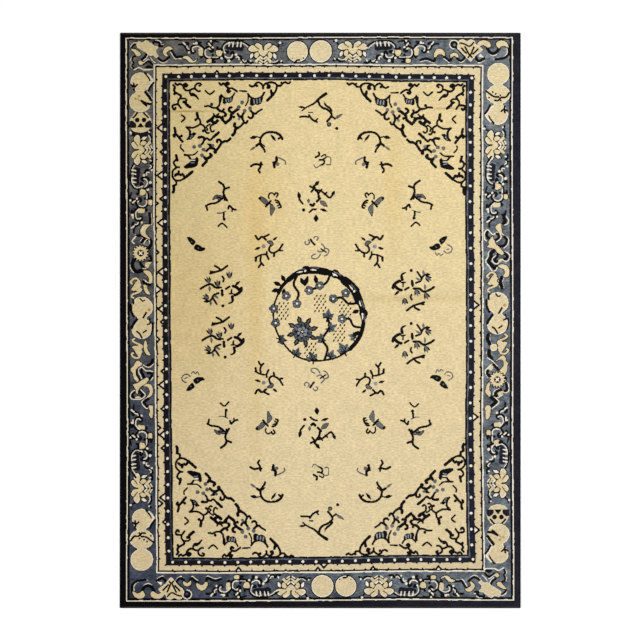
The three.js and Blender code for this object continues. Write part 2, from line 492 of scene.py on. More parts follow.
def tied_fan(c):
    ribbon(
        c, (-49.1, 10.2), (-43.8, 8.8), (-39.3, 10.2), (-35.7, 11.3), (-34.6, 7.4), width=2.7,
        below=(0, 1.7),
    )
    c.patch(
        CREAM, (-35.7, 6.8), (-35.9, 3.9), (-33, -0.5), (-28.6, -1), (-25.2, 2.1), (-25.2, 6), (-28.4, 4.4),
        (-31.5, 4.4), (-33.9, 7), edge=(INK, 0.8),
    )
    ribbon(c, (-25.9, 7), (-22.3, 9.3), (-20.5, 11.1), (-18.2, 8.8), below=(-0.4, 1.7))
    c.patch(
        CREAM, (-19.4, 8), (-19.2, 4.6), (-15.6, 2.8), (-12, 4.6), (-11.6, 8), (-13.4, 7), (-15.6, 6),
        (-17.6, 7), edge=(INK, 0.8),
    )
    ribbon(c, (-12.6, 8.8), (-9.4, 11), (-6.4, 9.4), (-4.6, 6.8), below=(0.3, 1.7))
    c.arc(IVORY, 0.9, -15.6, -5.4, 4.4, 90, 330)
    c.dot(INK, -15.6, -5.4, 3.7)
    c.dot(SLATE, -15.2, -5, 1.5)
    c.line(INK, 2.5, (-13, -2.2), (-8.6, 2.6), (-4.6, 6.8))
    ribbon(c, (5.6, 7), (8.9, 11.2), (14.4, 8.4), width=2.9, below=(0, 1.9))
    c.patch(IVORY, (10.4, 3.6), (14.6, 7.5), (9, 6.8), smooth=False)
    ribbon(c, (17.7, -1.8), (20, 2), (23.2, 3.4), (26.8, 2.2), (29.3, -1.4), width=3.3, below=(0, 2.2))
    c.patch(
        CREAM, (8, -0.6), (8, -6.8), (13.4, -9.6), (19.4, -8), (21, -4.1), (18.4, -2.4), (14.3, -4.8),
        (11, -4), edge=(INK, 0.8),
    )
    ribbon(c, (39.1, -2.6), (39.3, 3.9), (34.4, 8), (25.9, 9.3), below=(-2, -0.4))
    c.patch(
        CREAM, (26.6, -5.6), (28, -8.4), (32.4, -9.4), (37, -7.4), (39, -2.4), (34.5, -4.3), (31, -3.4),
        (29, -1.8), edge=(INK, 0.8),
    )
    c.patch(
        CREAM, (-12, -3.6), (-10, -9), (-6.3, -9.9), (-2.7, -8.3), (0.9, -9.9), (4.5, -8.8), (6, -5),
        (12.6, -0.5), (6.3, 4.8), (1.3, 10.6), (-0.5, 10.6), (-5.4, 4.8), (-11, -0.5), edge=(IVORY, 0.5),
    )
    left_folds = ((-8, -1.6), (-3.6, 3.4)), ((-4.6, -3), (-0.9, 4.6))
    right_folds = ((4.2, -2.6), (1.2, 4.4)), ((8.4, -0.8), (3.4, 4.2))
    for fold in left_folds + right_folds:
        c.line(INK, 1.8, *fold)
    c.line(INK, 1.6, (-9.8, -7), (-5, -5.8), (-0.8, -3.6), (2, -5), (4, -7.4))
    c.line(INK, 1.6, (-1.6, 7.6), (0.3, 5.8), (2.2, 7.6))


def twin_peaches(c):
    """Two round fruits side by side; each is a little flatter where it was knotted straight."""
    c.dot(CREAM, -11.7, 0.2, 10.5, edge=(INK, 1))
    c.dot(CREAM, 11.7, 0, 11.1, edge=(INK, 1))
    c.arc(IVORY, 0.7, -11.7, 0.2, 10, 0, 340)
    c.arc(IVORY, 0.7, 11.7, 0, 10.6, 0, 340)
    c.line(INK, 1.8, (-14.5, 11.4), (-12.4, 9), (-9.6, 8.6))
    c.dot(INK, -17, 7, 0.7)
    c.dot(INK, -5.6, 6.8, 0.8)


def gourd(c, *bulbs):
    """Bulbs down a line, with a pale line round them: (down, half width, half height) of each."""
    for yarn, margin in ((INK, 0.5), (IVORY, 0), (CREAM, -0.8)):
        for down, across, high in bulbs:
            round_it = [
                ((across + margin) * math.cos(a), down + (high + margin) * math.sin(a))
                for a in np.linspace(0, 2 * math.pi, 20, endpoint=False)
            ]
            c.patch(yarn, *round_it)
        for (over, _, high), (under, _, next_high) in zip(bulbs, bulbs[1:]):
            waist = c.at(0, (over + high + under - next_high) / 2)
            narrow, wide = 4.4 + margin, 5.8 + margin
            waist.patch(yarn, (-wide, -4), (wide, -4), (narrow, 0), (wide, 4), (-wide, 4), (-narrow, 0))


def cut_rind(c):
    """What is cut in the first bulb of a long gourd: a sprig, a slit and a flap turned back."""
    c.patch(CREAM, (4, -7.8), (9.4, -5), (12, -0.4), (9.4, 4), (5, 8), (2, 0))
    c.line(INK, 2, (4.4, -9), (8, -4.2), (9.6, -0.8), taper=0.5)
    c.line(IVORY, 1.5, (7.2, -7.6), (10.2, -4.4), (12.2, -0.8), (9.8, 2.8), (6.6, 7.6))
    c.line(INK, 2.2, (13.2, 1), (10.4, 4.6), (8.2, 9.4))
    c.line(INK, 1.8, (-9.2, 3.2), (-6, 5), (-3, 2.9))
    c.line(INK, 1.8, (-6.7, 1.6), (-6, 5), (-6.4, 8))


def two_gourd(c):
    gourd(c, (-9.6, 9.8, 9.3), (10.6, 11, 10.4))
    cut_rind(c.at(0, -9.6))
    ribbon(c, (5.3, 0.8), (8, 4.2), (10.8, 8.4), width=3, above=(1.4, -1))
    c.dot(TAN, -1.2, 4.8, 1.4)
    c.dot(TAN, -4.9, 7.4, 1.2)
    c.line(TAN, 1.1, (-2.8, 7), (-0.6, 9.4))
    c.line(INK, 2.5, (1.2, 9.6), (5.4, 11.8), (10.2, 12.8))
    c.line(INK, 2.1, (2.4, 11.2), (6.2, 14.4))


def marked_gourd(c):
    """A gourd whose rind is slit in many places."""
    gourd(c, (-10.8, 10.9, 10.6), (10.4, 10.4, 10.4))
    c.line(INK, 2, (-8.7, -19.1), (-8.7, -14.6))
    c.line(INK, 1.5, (-1.9, -19.7), (0.6, -17.2), (2.5, -17.8))
    c.line(INK, 2.5, (-11.2, -13.4), (-10.8, -7), (-8.3, -1.9))
    c.line(INK, 2, (4.1, -5.5), (1.3, -0.6))
    c.dot(TAN, 7, -8.3, 1.6)
    ribbon(c, (-5.1, 1.3), (-8.3, 5.7), (-10.2, 9.5), width=2.8, above=(1.9, 0.8))
    c.line(INK, 1.6, (7.6, 0.6), (8.3, 5.1), (5.7, 6.4))
    c.line(INK, 1.6, (10.4, 4.5), (10.8, 10.8), (9.5, 15.9))
    c.line(INK, 1.8, (-5.1, 13.4), (-2.5, 15.3), (0, 19.7))
    c.line(INK, 1.6, (1.3, 14.4), (4.5, 12.3))


def three_gourd(c):
    gourd(c, (-20.6, 9.8, 10.4), (-0.6, 12, 9.8), (20, 11.2, 11))
    cut_rind(c.at(0, -20.6))
    c.line(INK, 1.9, (-11, 0.8), (-7.6, -3.4), (-3.3, -3.6), (0.4, -6.8), (3.4, -6.4))
    c.line(INK, 1.9, (-0.4, -3.2), (4.5, -2.6), (8.4, 0.2), (12.2, 2.8))
    for x, y in ((-2.4, -6.8), (-2.2, -1.4), (2.4, 0), (5.4, 1.8), (9.2, -3.8)):
        c.dot(INK, x, y, 1)


def mask_vase(c):
    """A round vase whose flowers look like a mask; its neck is up."""
    c.patch(
        CREAM, (-2.8, -11), (-7.4, -7), (-10.6, -1), (-9.4, 4), (-7, 8), (0, 9.8), (7, 8), (9.4, 4),
        (10.6, -1), (7.4, -7), (2.8, -11), edge=(IVORY, 0.5),
    )
    for half in (c, c.at(0, 0, flip=True)):
        half.patch(NAVY, (5, 0.6), (8.4, -2), (11, -1.2), (11.2, 5.2), (4.8, 5.4), (4, 3.2), smooth=False)
        half.dot(INK, 3.4, -2.4, 2.4)
        half.line(INK, 1.8, (7.6, -4.6), (2.8, -9.8))
    c.patch(INK, (0, 0.2), (3.9, 5.2), (-3.9, 5.2), smooth=False)


def dark_lens(c):
    c.patch(NAVY, (-10.6, -3), (0, -1.4), (10.6, -3), (9, 1.6), (4, 3.4), (-4, 3.4), (-9, 1.6))
    c.dot(IVORY, -9.6, -1.6, 1.1)
    c.dot(IVORY, 9.4, -1.6, 1.1)


COIN_TEETH = 15


def coin(c):
    """A coin with a notched rim and a pale cross in its dark eye."""
    for tooth in range(COIN_TEETH):
        turn = 360 * tooth / COIN_TEETH
        c.at(0, 0, turn).patch(CREAM, (5, -1.5), (8.6, 0), (5, 1.5), edge=(INK, 0.8), smooth=False)
    c.dot(CREAM, 0, 0, 6.4)
    c.dot(INK, 0, 0, 3.4)
    for turn in (45, 135):
        c.at(0, 0, turn).line(IVORY, 1.3, (-2.1, 0), (2.1, 0))


def notched_coin(c):
    ribbon(c, (-4, -17.4), (0.8, -17.6), (3.4, -15.2), (1, -11), width=2.7, above=(-1.4, -0.8))
    ribbon(c, (6, -13.6), (9, -13.4), (10.6, -9.6), (8, -4.6), width=3.5, above=(0.2, -2))
    c.line(IVORY, 0.8, (2.6, -8), (4.4, -12), (7.6, -15))
    c.line(IVORY, 1.2, (-6.4, -9.4), (-8.6, -12), (-5, -16.4))
    ribbon(c, (-6.6, 6), (-8.6, 12), (-6.6, 16.6), (-3.4, 18.8), (0, 17.4), width=3.9, below=(-2, 1))
    ribbon(c, (-1, 8.4), (1.4, 13.2), (4.4, 13.6), width=2.9, below=(0.6, 1.9))
    ribbon(c, (9.4, 3), (10.4, 6.6), (8, 8.6), width=2.9, below=(-1.4, 0.8))
    c.patch(CREAM, (4, 13.4), (5.4, 9.6), (10.6, 9.2), (8.6, 11.6), (7.6, 14.8))
    c.patch(
        CREAM, (2.6, 18), (7.4, 17.6), (11, 21.6), (11.6, 29.6), (8.4, 28.8), (7.8, 24.4), (5, 21),
        edge=(INK, 0.8),
    )
    ribbon(c, (2.4, 28.2), (5, 30.6), (9, 31.8), width=2.9, above=(0.6, -1.8))
    coin(c)


def ribbon_curl(c):
    """The ribbon's cream end, rolled over once, with its dark back below."""
    ribbon(c, (9, -15.6), (9.6, -9), (9.4, -5), width=2.9, above=(1.6, 0.4))
    ribbon(c, (6.2, 6.6), (9.6, 9.8), (10.2, 13.4), width=2.3, above=(-1.4, 1))
    c.patch(
        CREAM, (-0.6, 3), (1, -2), (4, -4.6), (10, -4.4), (6.4, -1.4), (4.6, 2.4), (6, 6.2), (9.4, 9.8),
        (5.4, 8.6), (1.6, 6.4), edge=(INK, 0.8),
    )
    c.line(IVORY, 0.8, (1, 2.4), (2.4, -1.4), (5, -3.6), (8.6, -3.8))


def tulip(c):
    """A flower on its side, with a long tendril above it and a curled one below."""
    tendrils = (
        ((-2.6, -10.3), (-4.6, -9), (-3.6, -7.2), (-0.6, -5.7), (2, -5)),
        ((-4, 4), (-5.7, 5.4), (-3.4, 8.2), (-0.6, 9.1), (1.8, 8.1), (3.4, 5.6)),
    )
    for tendril in tendrils:
        c.line(INK, 3, *tendril)
    c.patch(
        CREAM, (0.6, -3.2), (1.6, -5), (4.5, -4.5), (6, -1.9), (4.2, 0.3), (5, 2.8), (3.6, 5.6), (1.8, 7.4),
        (-0.1, 5.6), (-2, 2.8), (-3.2, 0.6), (-4.9, -1.9), (-3.2, -3.1), edge=(INK, 0.7),
    )
    for tendril in tendrils:
        c.line(CREAM, 1.8, *tendril)


def ribbon_end(c):
    c.patch(
        CREAM, (-0.8, -8), (0.8, -3.4), (0.8, 0.6), (3.8, 6.8), (0.2, 6.2), (-2.2, 2), (-2.8, -3),
        edge=(INK, 0.8),
    )


def ribbon_crescent(c):
    """A ribbon's cream end, curled over, with its dark length hanging below."""
    ribbon(c, (-1.9, 6.4), (-3.2, 10.6), (-1.6, 16.6), width=3.8, above=(-2, 0.4), below=(2, 0.4))
    c.patch(
        CREAM, (-5.7, -4.9), (-1.3, -6.7), (3.8, -4.7), (5.7, 0), (5.1, 4.3), (2.5, 6.4), (-0.3, 5.1),
        (1.1, 1.9), (0.1, -1.7), (-2.5, -2.9), edge=(INK, 0.7),
    )


def ribbon_bead(c):
    """Two dark lengths of ribbon with a cream bead between them."""
    ribbon(c, (-5.1, -12.7), (-5.9, -8.3), (-4.1, -3.8), width=3.8, above=(2, -0.2))
    ribbon(c, (-4.7, 3.6), (-4.7, 7.4), (-1.9, 12.1), width=4, above=(-2, -0.4))
    c.dot(CREAM, 0, 0, 3.4, edge=(INK, 0.6))
    c.arc(IVORY, 0.8, 0, 0, 3.2, 0, 340)


def crossed_ribbons(c):
    """The left side's crossing, with a broad crescent above it and a loop below."""
    c.line(IVORY, 0.9, (14.2, -20.2), (10.1, -16.7), (5.8, -17.3), (2.8, -19.8))
    c.line(INK, 3, (12.8, -24), (11.4, -20.2), (8.3, -18.4))
    c.patch(
        CREAM, (-2.2, -22.9), (0.9, -21.6), (2.8, -19.2), (-1.5, -16.7), (-4, -13), (-3.4, -8.1),
        (-0.9, -3.8), (-2.8, -2), (-5.8, -5.7), (-6.5, -10), (-8.6, -13), (-8.6, -15.5), (-5.8, -18),
        (-4.6, -21), edge=(INK, 0.7),
    )
    c.line(INK, 2, (0, -16.2), (-2.6, -13.8), (-2.6, -9.3), (0.3, -4.4))
    c.line(INK, 2.8, (2.6, -15.3), (1.7, -11.8), (3.6, -8.7), (4.2, -6))
    c.line(IVORY, 0.9, (2.8, -16.8), (-0.7, -15), (-1, -11.8), (0.9, -8.1), (2, -5))
    c.line(IVORY, 1.1, (3.2, -15.7), (6.3, -13), (9, -12.8), (13, -12.5))
    c.line(INK, 2.8, (8.3, -10.9), (12, -10.4), (11.8, -7.1), (9.9, -5))
    c.line(IVORY, 0.9, (13.6, -6.6), (11.4, -3.8))
    c.patch(
        CREAM, (2.8, 1.1), (7.1, -0.1), (12, 1.7), (13, 7.3), (12, 11.6), (8.3, 13.4), (6.5, 14),
        (9.3, 10.3), (9.9, 6.6), (7.7, 3), (3.4, 2.3), edge=(INK, 0.7),
    )
    c.line(INK, 2.8, (-5.8, 8.5), (-7.6, 11.8), (-6, 13.8))
    c.line(INK, 2.8, (-0.3, 7.3), (3.2, 10.9), (1.5, 13))
    c.patch(CREAM, (-4.3, 14.2), (-1.5, 12.4), (1.5, 14.4))
    c.line(
        IVORY, 0.9, (-4.6, 6), (-8.3, 9.1), (-9.3, 12.8), (-7.1, 15.4), (0.9, 15.4), (5.2, 12.4),
        (5.2, 10.3), (0.9, 6),
    )
    c.patch(
        CREAM, (7.1, -6.3), (9.5, -4.4), (6.5, -0.7), (0.9, 3), (-1.5, 6), (-2.2, 10.3), (-3.6, 9.1),
        (-4, 5.4), (-7.1, 0.5), (-4.6, 0.2), (-2.2, -0.7), (2.8, -3.8), edge=(INK, 0.7), smooth=False,
    )
    c.line(IVORY, 0.9, (8.6, 13.2), (2.2, 18.3), (6.3, 24.3), (9.5, 23.9))
    c.line(INK, 3, (8.7, 15), (4.3, 18.4), (7.2, 22.4))
    c.patch(
        CREAM, (8.9, 22.6), (12, 21.4), (13.6, 23.2), (13.6, 27.6), (12.6, 34.3), (9.5, 30.6), (10.8, 27.6),
        edge=(INK, 0.7),
    )


def looped_ribbons(c):
    """The right side's crossing, where dark ribbons loop round a cream one."""
    c.line(IVORY, 0.9, (9.5, -37.5), (9.1, -33.2), (11.4, -29.2), (11.9, -26.5), (9.9, -23.4), (6.8, -23.4))
    c.line(INK, 2, (9.3, -37.3), (8.2, -33.5), (5.6, -33.2))
    c.line(INK, 3.6, (7.8, -33.5), (7.4, -30.3), (8.4, -27.4), (7, -25))
    c.patch(
        CREAM, (3.9, -24.6), (0.2, -22.9), (-1.3, -20.3), (1.3, -16.6), (3.6, -13.7), (5.6, -14),
        (5, -17.7), (4.5, -22.3), edge=(INK, 0.7),
    )
    c.line(IVORY, 0.9, (5.2, -14), (9.9, -11.2), (12, -8.3), (11.6, -5), (10.8, -3.1), (7.3, 0.3))
    c.line(INK, 2.8, (7.6, -11.4), (10, -8.6), (9.4, -4.8), (7.2, -2.2), (2.6, -1.9))
    c.line(
        IVORY, 1, (-12, -9.4), (-12.2, -14.8), (-9.9, -17.9), (-7.6, -17.4), (-5.9, -14.9), (-3.6, -13.4),
        (-1.2, -14.6), (0.4, -16),
    )
    c.line(INK, 3, (-9.4, -16), (-10.2, -13.4), (-9, -10.8), (-7.2, -9.2))
    c.line(INK, 2.4, (0, -14.2), (2.4, -12), (1.2, -9.2), (-1.8, -7.8))
    c.line(IVORY, 0.9, (3.4, -13.8), (4.6, -11.4), (3.1, -8.4), (-0.2, -6.2))
    c.line(IVORY, 1.2, (-12.2, -8.8), (-10.2, -7.2))
    c.line(
        IVORY, 0.9, (-2.4, 1.2), (-7.8, 4), (-8.6, 8.5), (-11.2, 13.4), (-7.6, 18.4), (-5.3, 22),
        (-2.8, 23.2), (-0.1, 20.9), (0.6, 18.8), (3.3, 17.3),
    )
    c.line(INK, 3.8, (-2.8, 3), (-5.6, 5), (-5.6, 9), (-8, 13.4), (-4.8, 17.4), (-2.4, 20))
    c.line(INK, 2.4, (-2.4, 20), (0, 17.4))
    c.line(
        IVORY, 0.9, (0.1, 5.8), (-0.6, 7.6), (-4, 10.2), (-4.5, 12.6), (-2.4, 15.2), (-0.1, 15.9),
        (1.8, 14.8),
    )
    c.line(INK, 2.8, (1.2, 6.4), (0.5, 8.5), (-2, 11.4), (-1, 13.4), (0.9, 13.2))
    c.line(IVORY, 0.9, (7.9, 3.1), (12.8, 6.5), (12.7, 10.6), (10.2, 13.4), (7.5, 12.8), (6, 11.4))
    c.line(INK, 2.8, (8, 4.8), (10.6, 8.3), (9.6, 10.9), (7.7, 11))
    c.patch(CREAM, (4.5, 10.8), (6, 11.9), (2.9, 14.6), (1.4, 14.2), (2.2, 11.9))
    c.patch(
        CREAM, (-3.9, -11.7), (-5.9, -9.7), (-7.9, -6.8), (-7.6, -3.4), (-9.7, -0.7), (-5.1, 0),
        (-1.7, 0.8), (0.6, 4.2), (4.1, 6.5), (6, 6.9), (7.5, 5), (2.9, -0.7), (-0.9, -3.8), (-2, -7.2),
        (-3.3, -9.1), edge=(INK, 0.7), smooth=False,
    )


def tied_coin(c):
    """The right side's coin, with cream ribbons tied above and below it."""
    c.line(IVORY, 0.9, (2, -11), (-3.8, -17.6), (-10, -22))
    c.line(IVORY, 0.9, (-5.5, -15.5), (-11.8, -9.1), (-11.2, -4.8), (-7.5, -0.5))
    c.line(INK, 2.8, (-3.6, -14.8), (1.1, -10))
    c.line(INK, 3, (-9.6, -8.7), (-10, -6), (-7.8, -3))
    c.patch(CREAM, (-5, -14.2), (-3.9, -12.4), (-6.5, -9.2), (-9, -11), (-7, -13.2))
    c.patch(
        CREAM, (2.3, -9.1), (5.4, -12.2), (6.6, -15.3), (5.4, -19.6), (1.7, -20), (-2, -18.2), (1.7, -21.6),
        (5.4, -24.3), (8, -22), (8.6, -18.6), (10.8, -16.5), (9.8, -13), (9.5, -8.5), (7.3, -5), (3, -6),
        edge=(INK, 0.7),
    )
    c.patch(
        CREAM, (-6.9, 2), (-10, 4.4), (-11.8, 10), (-11.8, 13), (-8.1, 16.7), (-6.3, 13.7), (-8.1, 10),
        (-7.5, 5.4), (-5, 3.2), edge=(INK, 0.7),
    )
    c.line(IVORY, 0.9, (7.9, 1.4), (11, 4.4), (11.6, 10), (9.7, 12.6), (6, 12.6))
    c.line(INK, 3, (8.3, 3.2), (9.5, 6.3), (9.5, 10), (7.9, 11.2))
    c.dot(INK, 8.6, -1.2, 1.4)
    c.line(IVORY, 0.9, (2.3, 8.7), (-3.2, 11.6), (-4.4, 15.5))
    c.line(INK, 3, (3.6, 10.2), (-1, 12), (-2.2, 14.9), (-0.7, 16.4))
    c.patch(CREAM, (1.1, 12.7), (5, 11.4), (6.2, 12.8), (2.3, 16.2), (0.8, 15.2))
    c.line(IVORY, 0.9, (-8, 16.4), (-3.8, 17.8), (0.5, 18), (5.4, 14.9))
    c.line(IVORY, 0.9, (-3.8, 17.8), (-0.7, 19.4), (1.7, 22.9), (-5, 29))
    c.line(INK, 3.6, (-6, 18), (-2, 21.2), (-2, 23), (-5.2, 26))
    c.patch(
        CREAM, (-11.4, 27), (-8.7, 25.6), (-6.3, 28), (-6.7, 32), (-7.5, 37), (-10.6, 40), (-11.8, 37),
        (-11.4, 33), (-12, 29.5), edge=(INK, 0.7),
    )
    coin(c)


# Where the border's motifs lie, round the carpet from the far left corner. A turn of -90 sets
# one on the left side, 90 on the right and 180 on the near end.

BORDER_PLACES = (
    # motif, x, y, turn, flipped
    (tied_cloud, -174.1, -271.4, 0, False),
    (scroll_vine, -120.1, -266.4, 0, False),
    (seed_comb, -86.1, -266.4, 0, False),
    (lotus, -57.1, -266.4, 0, False),
    (twin_peaches, -11.1, -269.0, 0, False),
    (lotus, 32.6, -268.4, 0, True),
    (seed_comb, 63.4, -266.9, 0, True),
    (scroll_vine, 96.4, -266.9, 0, True),
    (tied_fan, 149.4, -270.4, 0, False),
    (three_gourd, 178.0, -226.6, 180, False),
    (lotus, 175.7, -175.0, -90, False),
    (seed_comb, 178.4, -147.4, -90, False),
    (scroll_vine, 178.4, -115.0, -90, False),
    (looped_ribbons, 176.4, -72.4, 0, False),
    (ribbon_crescent, 183.4, -49.4, 0, False),
    (tulip, 172.4, -38.9, 180, True),
    (marked_gourd, 177.4, -6.9, 0, False),
    (tulip, 182.4, 24.4, 0, True),
    (ribbon_bead, 173.4, 26.9, 0, False),
    (tied_coin, 177.1, 59.1, 0, False),
    (scroll_vine, 175.5, 103.6, 90, False),
    (seed_comb, 175.5, 134.4, 90, False),
    (lotus, 177.6, 162.7, 90, False),
    (mask_vase, 177.8, 194.2, 180, False),
    (two_gourd, 178.4, 224.2, 180, False),
    (tied_cloud, 170.9, 268.6, 180, False),
    (scroll_vine, 121.6, 263.8, 180, False),
    (seed_comb, 87.6, 263.8, 180, False),
    (lotus, 58.8, 265.5, 180, False),
    (twin_peaches, 14.0, 265.6, 180, False),
    (lotus, -29.3, 266.3, 180, True),
    (seed_comb, -58.4, 263.8, 180, True),
    (scroll_vine, -92.3, 263.8, 180, True),
    (tied_fan, -148.6, 268.6, 180, False),
    (three_gourd, -178.4, 219.2, 0, False),
    (lotus, -178.1, 167.6, -90, True),
    (seed_comb, -177.1, 140.6, -90, True),
    (scroll_vine, -177.1, 106.6, -90, True),
    (crossed_ribbons, -180.6, 63.4, 0, False),
    (tulip, -183.1, 28.6, 0, False),
    (ribbon_end, -173.9, 28.0, 0, False),
    (marked_gourd, -178.3, -2.3, 0, False),
    (tulip, -184.1, -32.9, 180, True),
    (ribbon_end, -173.9, -33.0, 0, False),
    (notched_coin, -179.6, -67.4, 0, False),
    (ribbon_curl, -179.6, -91.4, 0, False),
    (scroll_vine, -177.1, -109.4, -90, False),
    (seed_comb, -177.1, -143.4, -90, False),
    (dark_lens, -180.1, -186.6, 0, False),
    (lotus, -178.1, -170.4, -90, False),
    (mask_vase, -179.8, -198.0, 0, False),
    (two_gourd, -180.1, -229.0, 0, False),
)

for motif, x, y, turn, flipped in BORDER_PLACES:
    motif(cartoon.at(x, y, turn, flipped))


# The cream band's edges: small dark teeth point inwards from its outer line, drops sit between
# them on the pearl band, and here and there an open bud takes the place of one.

TOOTH_PITCH = 11.4
BAND_SIDES = (
    # turn, outer line, pearl band's edge, first tooth, end of the teeth
    (0, -253.3, -247.8, -143.4, 156),
    (90, -160.1, -153.8, -238.0, 246),
    (180, -249.3, -244.1, -146.0, 160),
    (-90, -163.6, -158.1, -238.0, 248),
)
BUDS = (
    # turn of its side, place along it, height, True if it grows from the pearl band
    (0, -103.4, 2.0, True),
    (90, -15.7, 4.6, True),
    (90, 97.3, 4.6, True),
    (90, 211.4, 4.6, True),
    (180, 84.1, 3.2, False),
    (180, 4.1, 2.6, False),
    (180, -1.5, 3.4, True),
    (180, -50.9, 2.6, False),
    (180, -116.3, 3.2, False),
    (-90, 193.4, 4.8, True),
    (-90, 169.4, 2.2, True),
    (-90, 145.9, 4.8, True),
    (-90, 122.4, 2.2, True),
    (-90, 117.4, 2.0, False),
    (-90, 98.4, 4.4, True),
    (-90, 68.4, 2.2, False),
    (-90, 49.4, 4.8, True),
    (-90, 31.4, 4.6, False),
    (-90, 12.4, 4.6, True),
    (-90, -0.6, 2.2, True),
    (-90, -18.6, 2.6, False),
    (-90, -49.6, 2.2, True),
    (-90, -63.3, 4.8, True),
    (-90, -87.3, 2.4, True),
    (-90, -106.6, 2.8, False),
    (-90, -113.3, 4.6, True),
    (-90, -126.6, 2.6, True),
    (-90, -176.1, 4.8, True),
    (-90, -182.6, 4.0, False),
    (-90, -200.6, 2.4, True),
)
BUD_LINE = 1.9  # width of the line round a bud


def on_side(turn, along, height, line):
    """A place on one side of the frame, seen with the carpet's edge above it."""
    x, y = cartoon.at(0, 0, turn).turned @ (along, height)
    return cartoon.at(*bent(line, x, y), turn)


def draw_teeth():
    for turn, line, pearl_edge, first, end in BAND_SIDES:
        for x in np.arange(first, end, TOOTH_PITCH):
            on_side(turn, x, line, "inner").patch(INK, (-1.4, -0.3), (1.4, -0.3), (0, 1.5), smooth=False)
            on_side(turn, x - TOOTH_PITCH / 2, pearl_edge, "field").dot(NAVY, 0, -0.2, 1)


def draw_buds():
    lines = {turn: (line, edge) for turn, line, edge, _, _ in BAND_SIDES}
    for turn, along, height, from_pearls in BUDS:
        line, edge = lines[turn]
        base = on_side(turn, along, edge, "field") if from_pearls else on_side(turn, along, line, "inner")
        bud = base.at(0, 0, 180 if from_pearls else 0)
        half = 0.45 + 0.75 * height
        bud.patch(IVORY, (-half, -0.4), (half, -0.4), (0, height), smooth=False)
        bud.line(INK, BUD_LINE, (-half, -0.4), (0, height))
        bud.line(INK, BUD_LINE, (half, -0.4), (0, height))


draw_teeth()
draw_buds()


# The field's corners: thin vines run in from the corner and along the slope that closes it, with
# birds far off, hanging lanterns, a small crested beast and seeds. Drawn for the far left corner,
# from where the field begins, and turned over for the other three.


def lantern(c):
    """A lit lantern under its two horns, hung by the left one."""
    c.patch(INK, (-6, 3), (-7.4, 9.6), (-4.6, 11.6), (-2, 10), (1, 10.4), (4.6, 8), (5.4, 2), (0, 4.6))
    c.line(INK, 2.15, (-9.4, -0.4), (-6.4, 3), (-3, 4.3), (1.4, 3.9), (5, 1.5), (7, -2))
    for x, top in ((-3.4, 5.4), (-0.4, 5.2), (2.4, 4.4)):
        c.line(MIST, 1.4, (x, top), (x + 0.5, top + 3.4))
    c.line(INK, 1.65, (-9.2, 0.8), (-9.2, 6.6), (-11.4, 11.4))


def dark_lantern(c):
    c.line(INK, 2.15, (-6.2, -4.6), (-3.2, -4.2), (-0.6, -1))
    c.line(INK, 1.65, (-4, -4.6), (1.4, -4.6), (4, -5.5), (6.8, -8))
    c.patch(
        INK, (-0.6, -1), (4, -1), (5.7, -3), (7.8, -1), (7.4, 2.4), (6.4, 6), (3.6, 7.6), (-1.6, 8.8),
        (-6.2, 8.8), (-7, 7), (-4, 4.6), (-1, 2.4), (-0.2, 0.4),
    )
    c.line(IVORY, 1.1, (0.2, 0.8), (3.8, 0.8))
    c.line(MIST, 1, (0.2, 3), (3.2, 3.4))


def crested_beast(c):
    c.line(INK, 3.05, (-6.9, 2), (-2.6, -1), (0, -4))
    c.line(INK, 1.85, (-0.8, -6), (0.8, -3.6), (4.4, -6))
    c.line(INK, 2.95, (2, -2.6), (5.6, -2.6), (7.6, -0.6), (9.4, 1.6))
    c.line(INK, 1.95, (8.2, -3.2), (8.8, -1))
    c.line(INK, 3.45, (-2.6, 1), (0, 3.2), (3, 1))
    c.line(INK, 1.65, (-4.4, 4.2), (-7.8, 6.7), (-7.4, 9.2))
    c.dot(INK, -7.2, 9.8, 1.25)
    c.line(INK, 1.95, (-1.2, 4.6), (-3.8, 6.4), (-3.8, 10.4), (-2, 12), (-0.4, 10.8))
    c.dot(IVORY, 0, 0.2, 0.9)


def corner_vines(c):
    c.line(
        INK, 2.25, (5, 2), (7.1, 3.6), (9.3, 2.4), (13, 4.5), (13.4, 6.5), (15.9, 9.1), (19.1, 9.1),
        (22.4, 7.7), (24.8, 7.7),
    )
    c.line(INK, 2.65, (13.6, 3.6), (15, 2.4), (16.9, 4), (15.4, 5.1))
    c.line(INK, 2.15, (24.8, 7.7), (24.8, 4.5), (26.9, 2.6), (29.7, 2.4), (30.5, 3.8), (28.9, 4.9))
    c.line(INK, 2.15, (24.8, 7.7), (26.5, 9.4), (28.1, 10.2), (29.7, 10))
    c.line(INK, 2.25, (19.5, 9.4), (19.9, 11.8), (21.2, 13.8), (22.8, 14.3), (23.6, 13), (22.4, 12.6))
    c.line(INK, 2.85, (24.8, 14.3), (26.1, 15.1), (28.3, 17.9), taper=0.5)
    c.line(
        INK, 2.35, (3, 3.8), (4.8, 6.1), (3.8, 8.1), (4.8, 10.6), (6.9, 12), (10.1, 13.8), (11, 15.1),
        (10.1, 17.1),
    )
    c.dot(INK, 4.4, 12.6, 1.45)
    c.line(INK, 2.05, (10.1, 17.3), (12.6, 17.1), (15.4, 17.5), (16.7, 19.1))
    c.line(INK, 3.05, (13.9, 20.6), (15.6, 21), (16.3, 23), (20.1, 26.1))
    c.line(INK, 2.15, (10.1, 17.1), (8.3, 19.6), (8.3, 22.8), (10.1, 25.3), (11, 26.9))
    c.line(INK, 2.35, (8.3, 23.2), (5.6, 23.2), (2.8, 24), (2.8, 26.5), (4.4, 28.1), (5.6, 26.5))
    c.line(INK, 1.85, (35.2, 9.8), (39.7, 13.2), (44, 9.8))
    c.line(INK, 1.85, (11.4, 33.8), (14.8, 36.9), (11.4, 40.6))


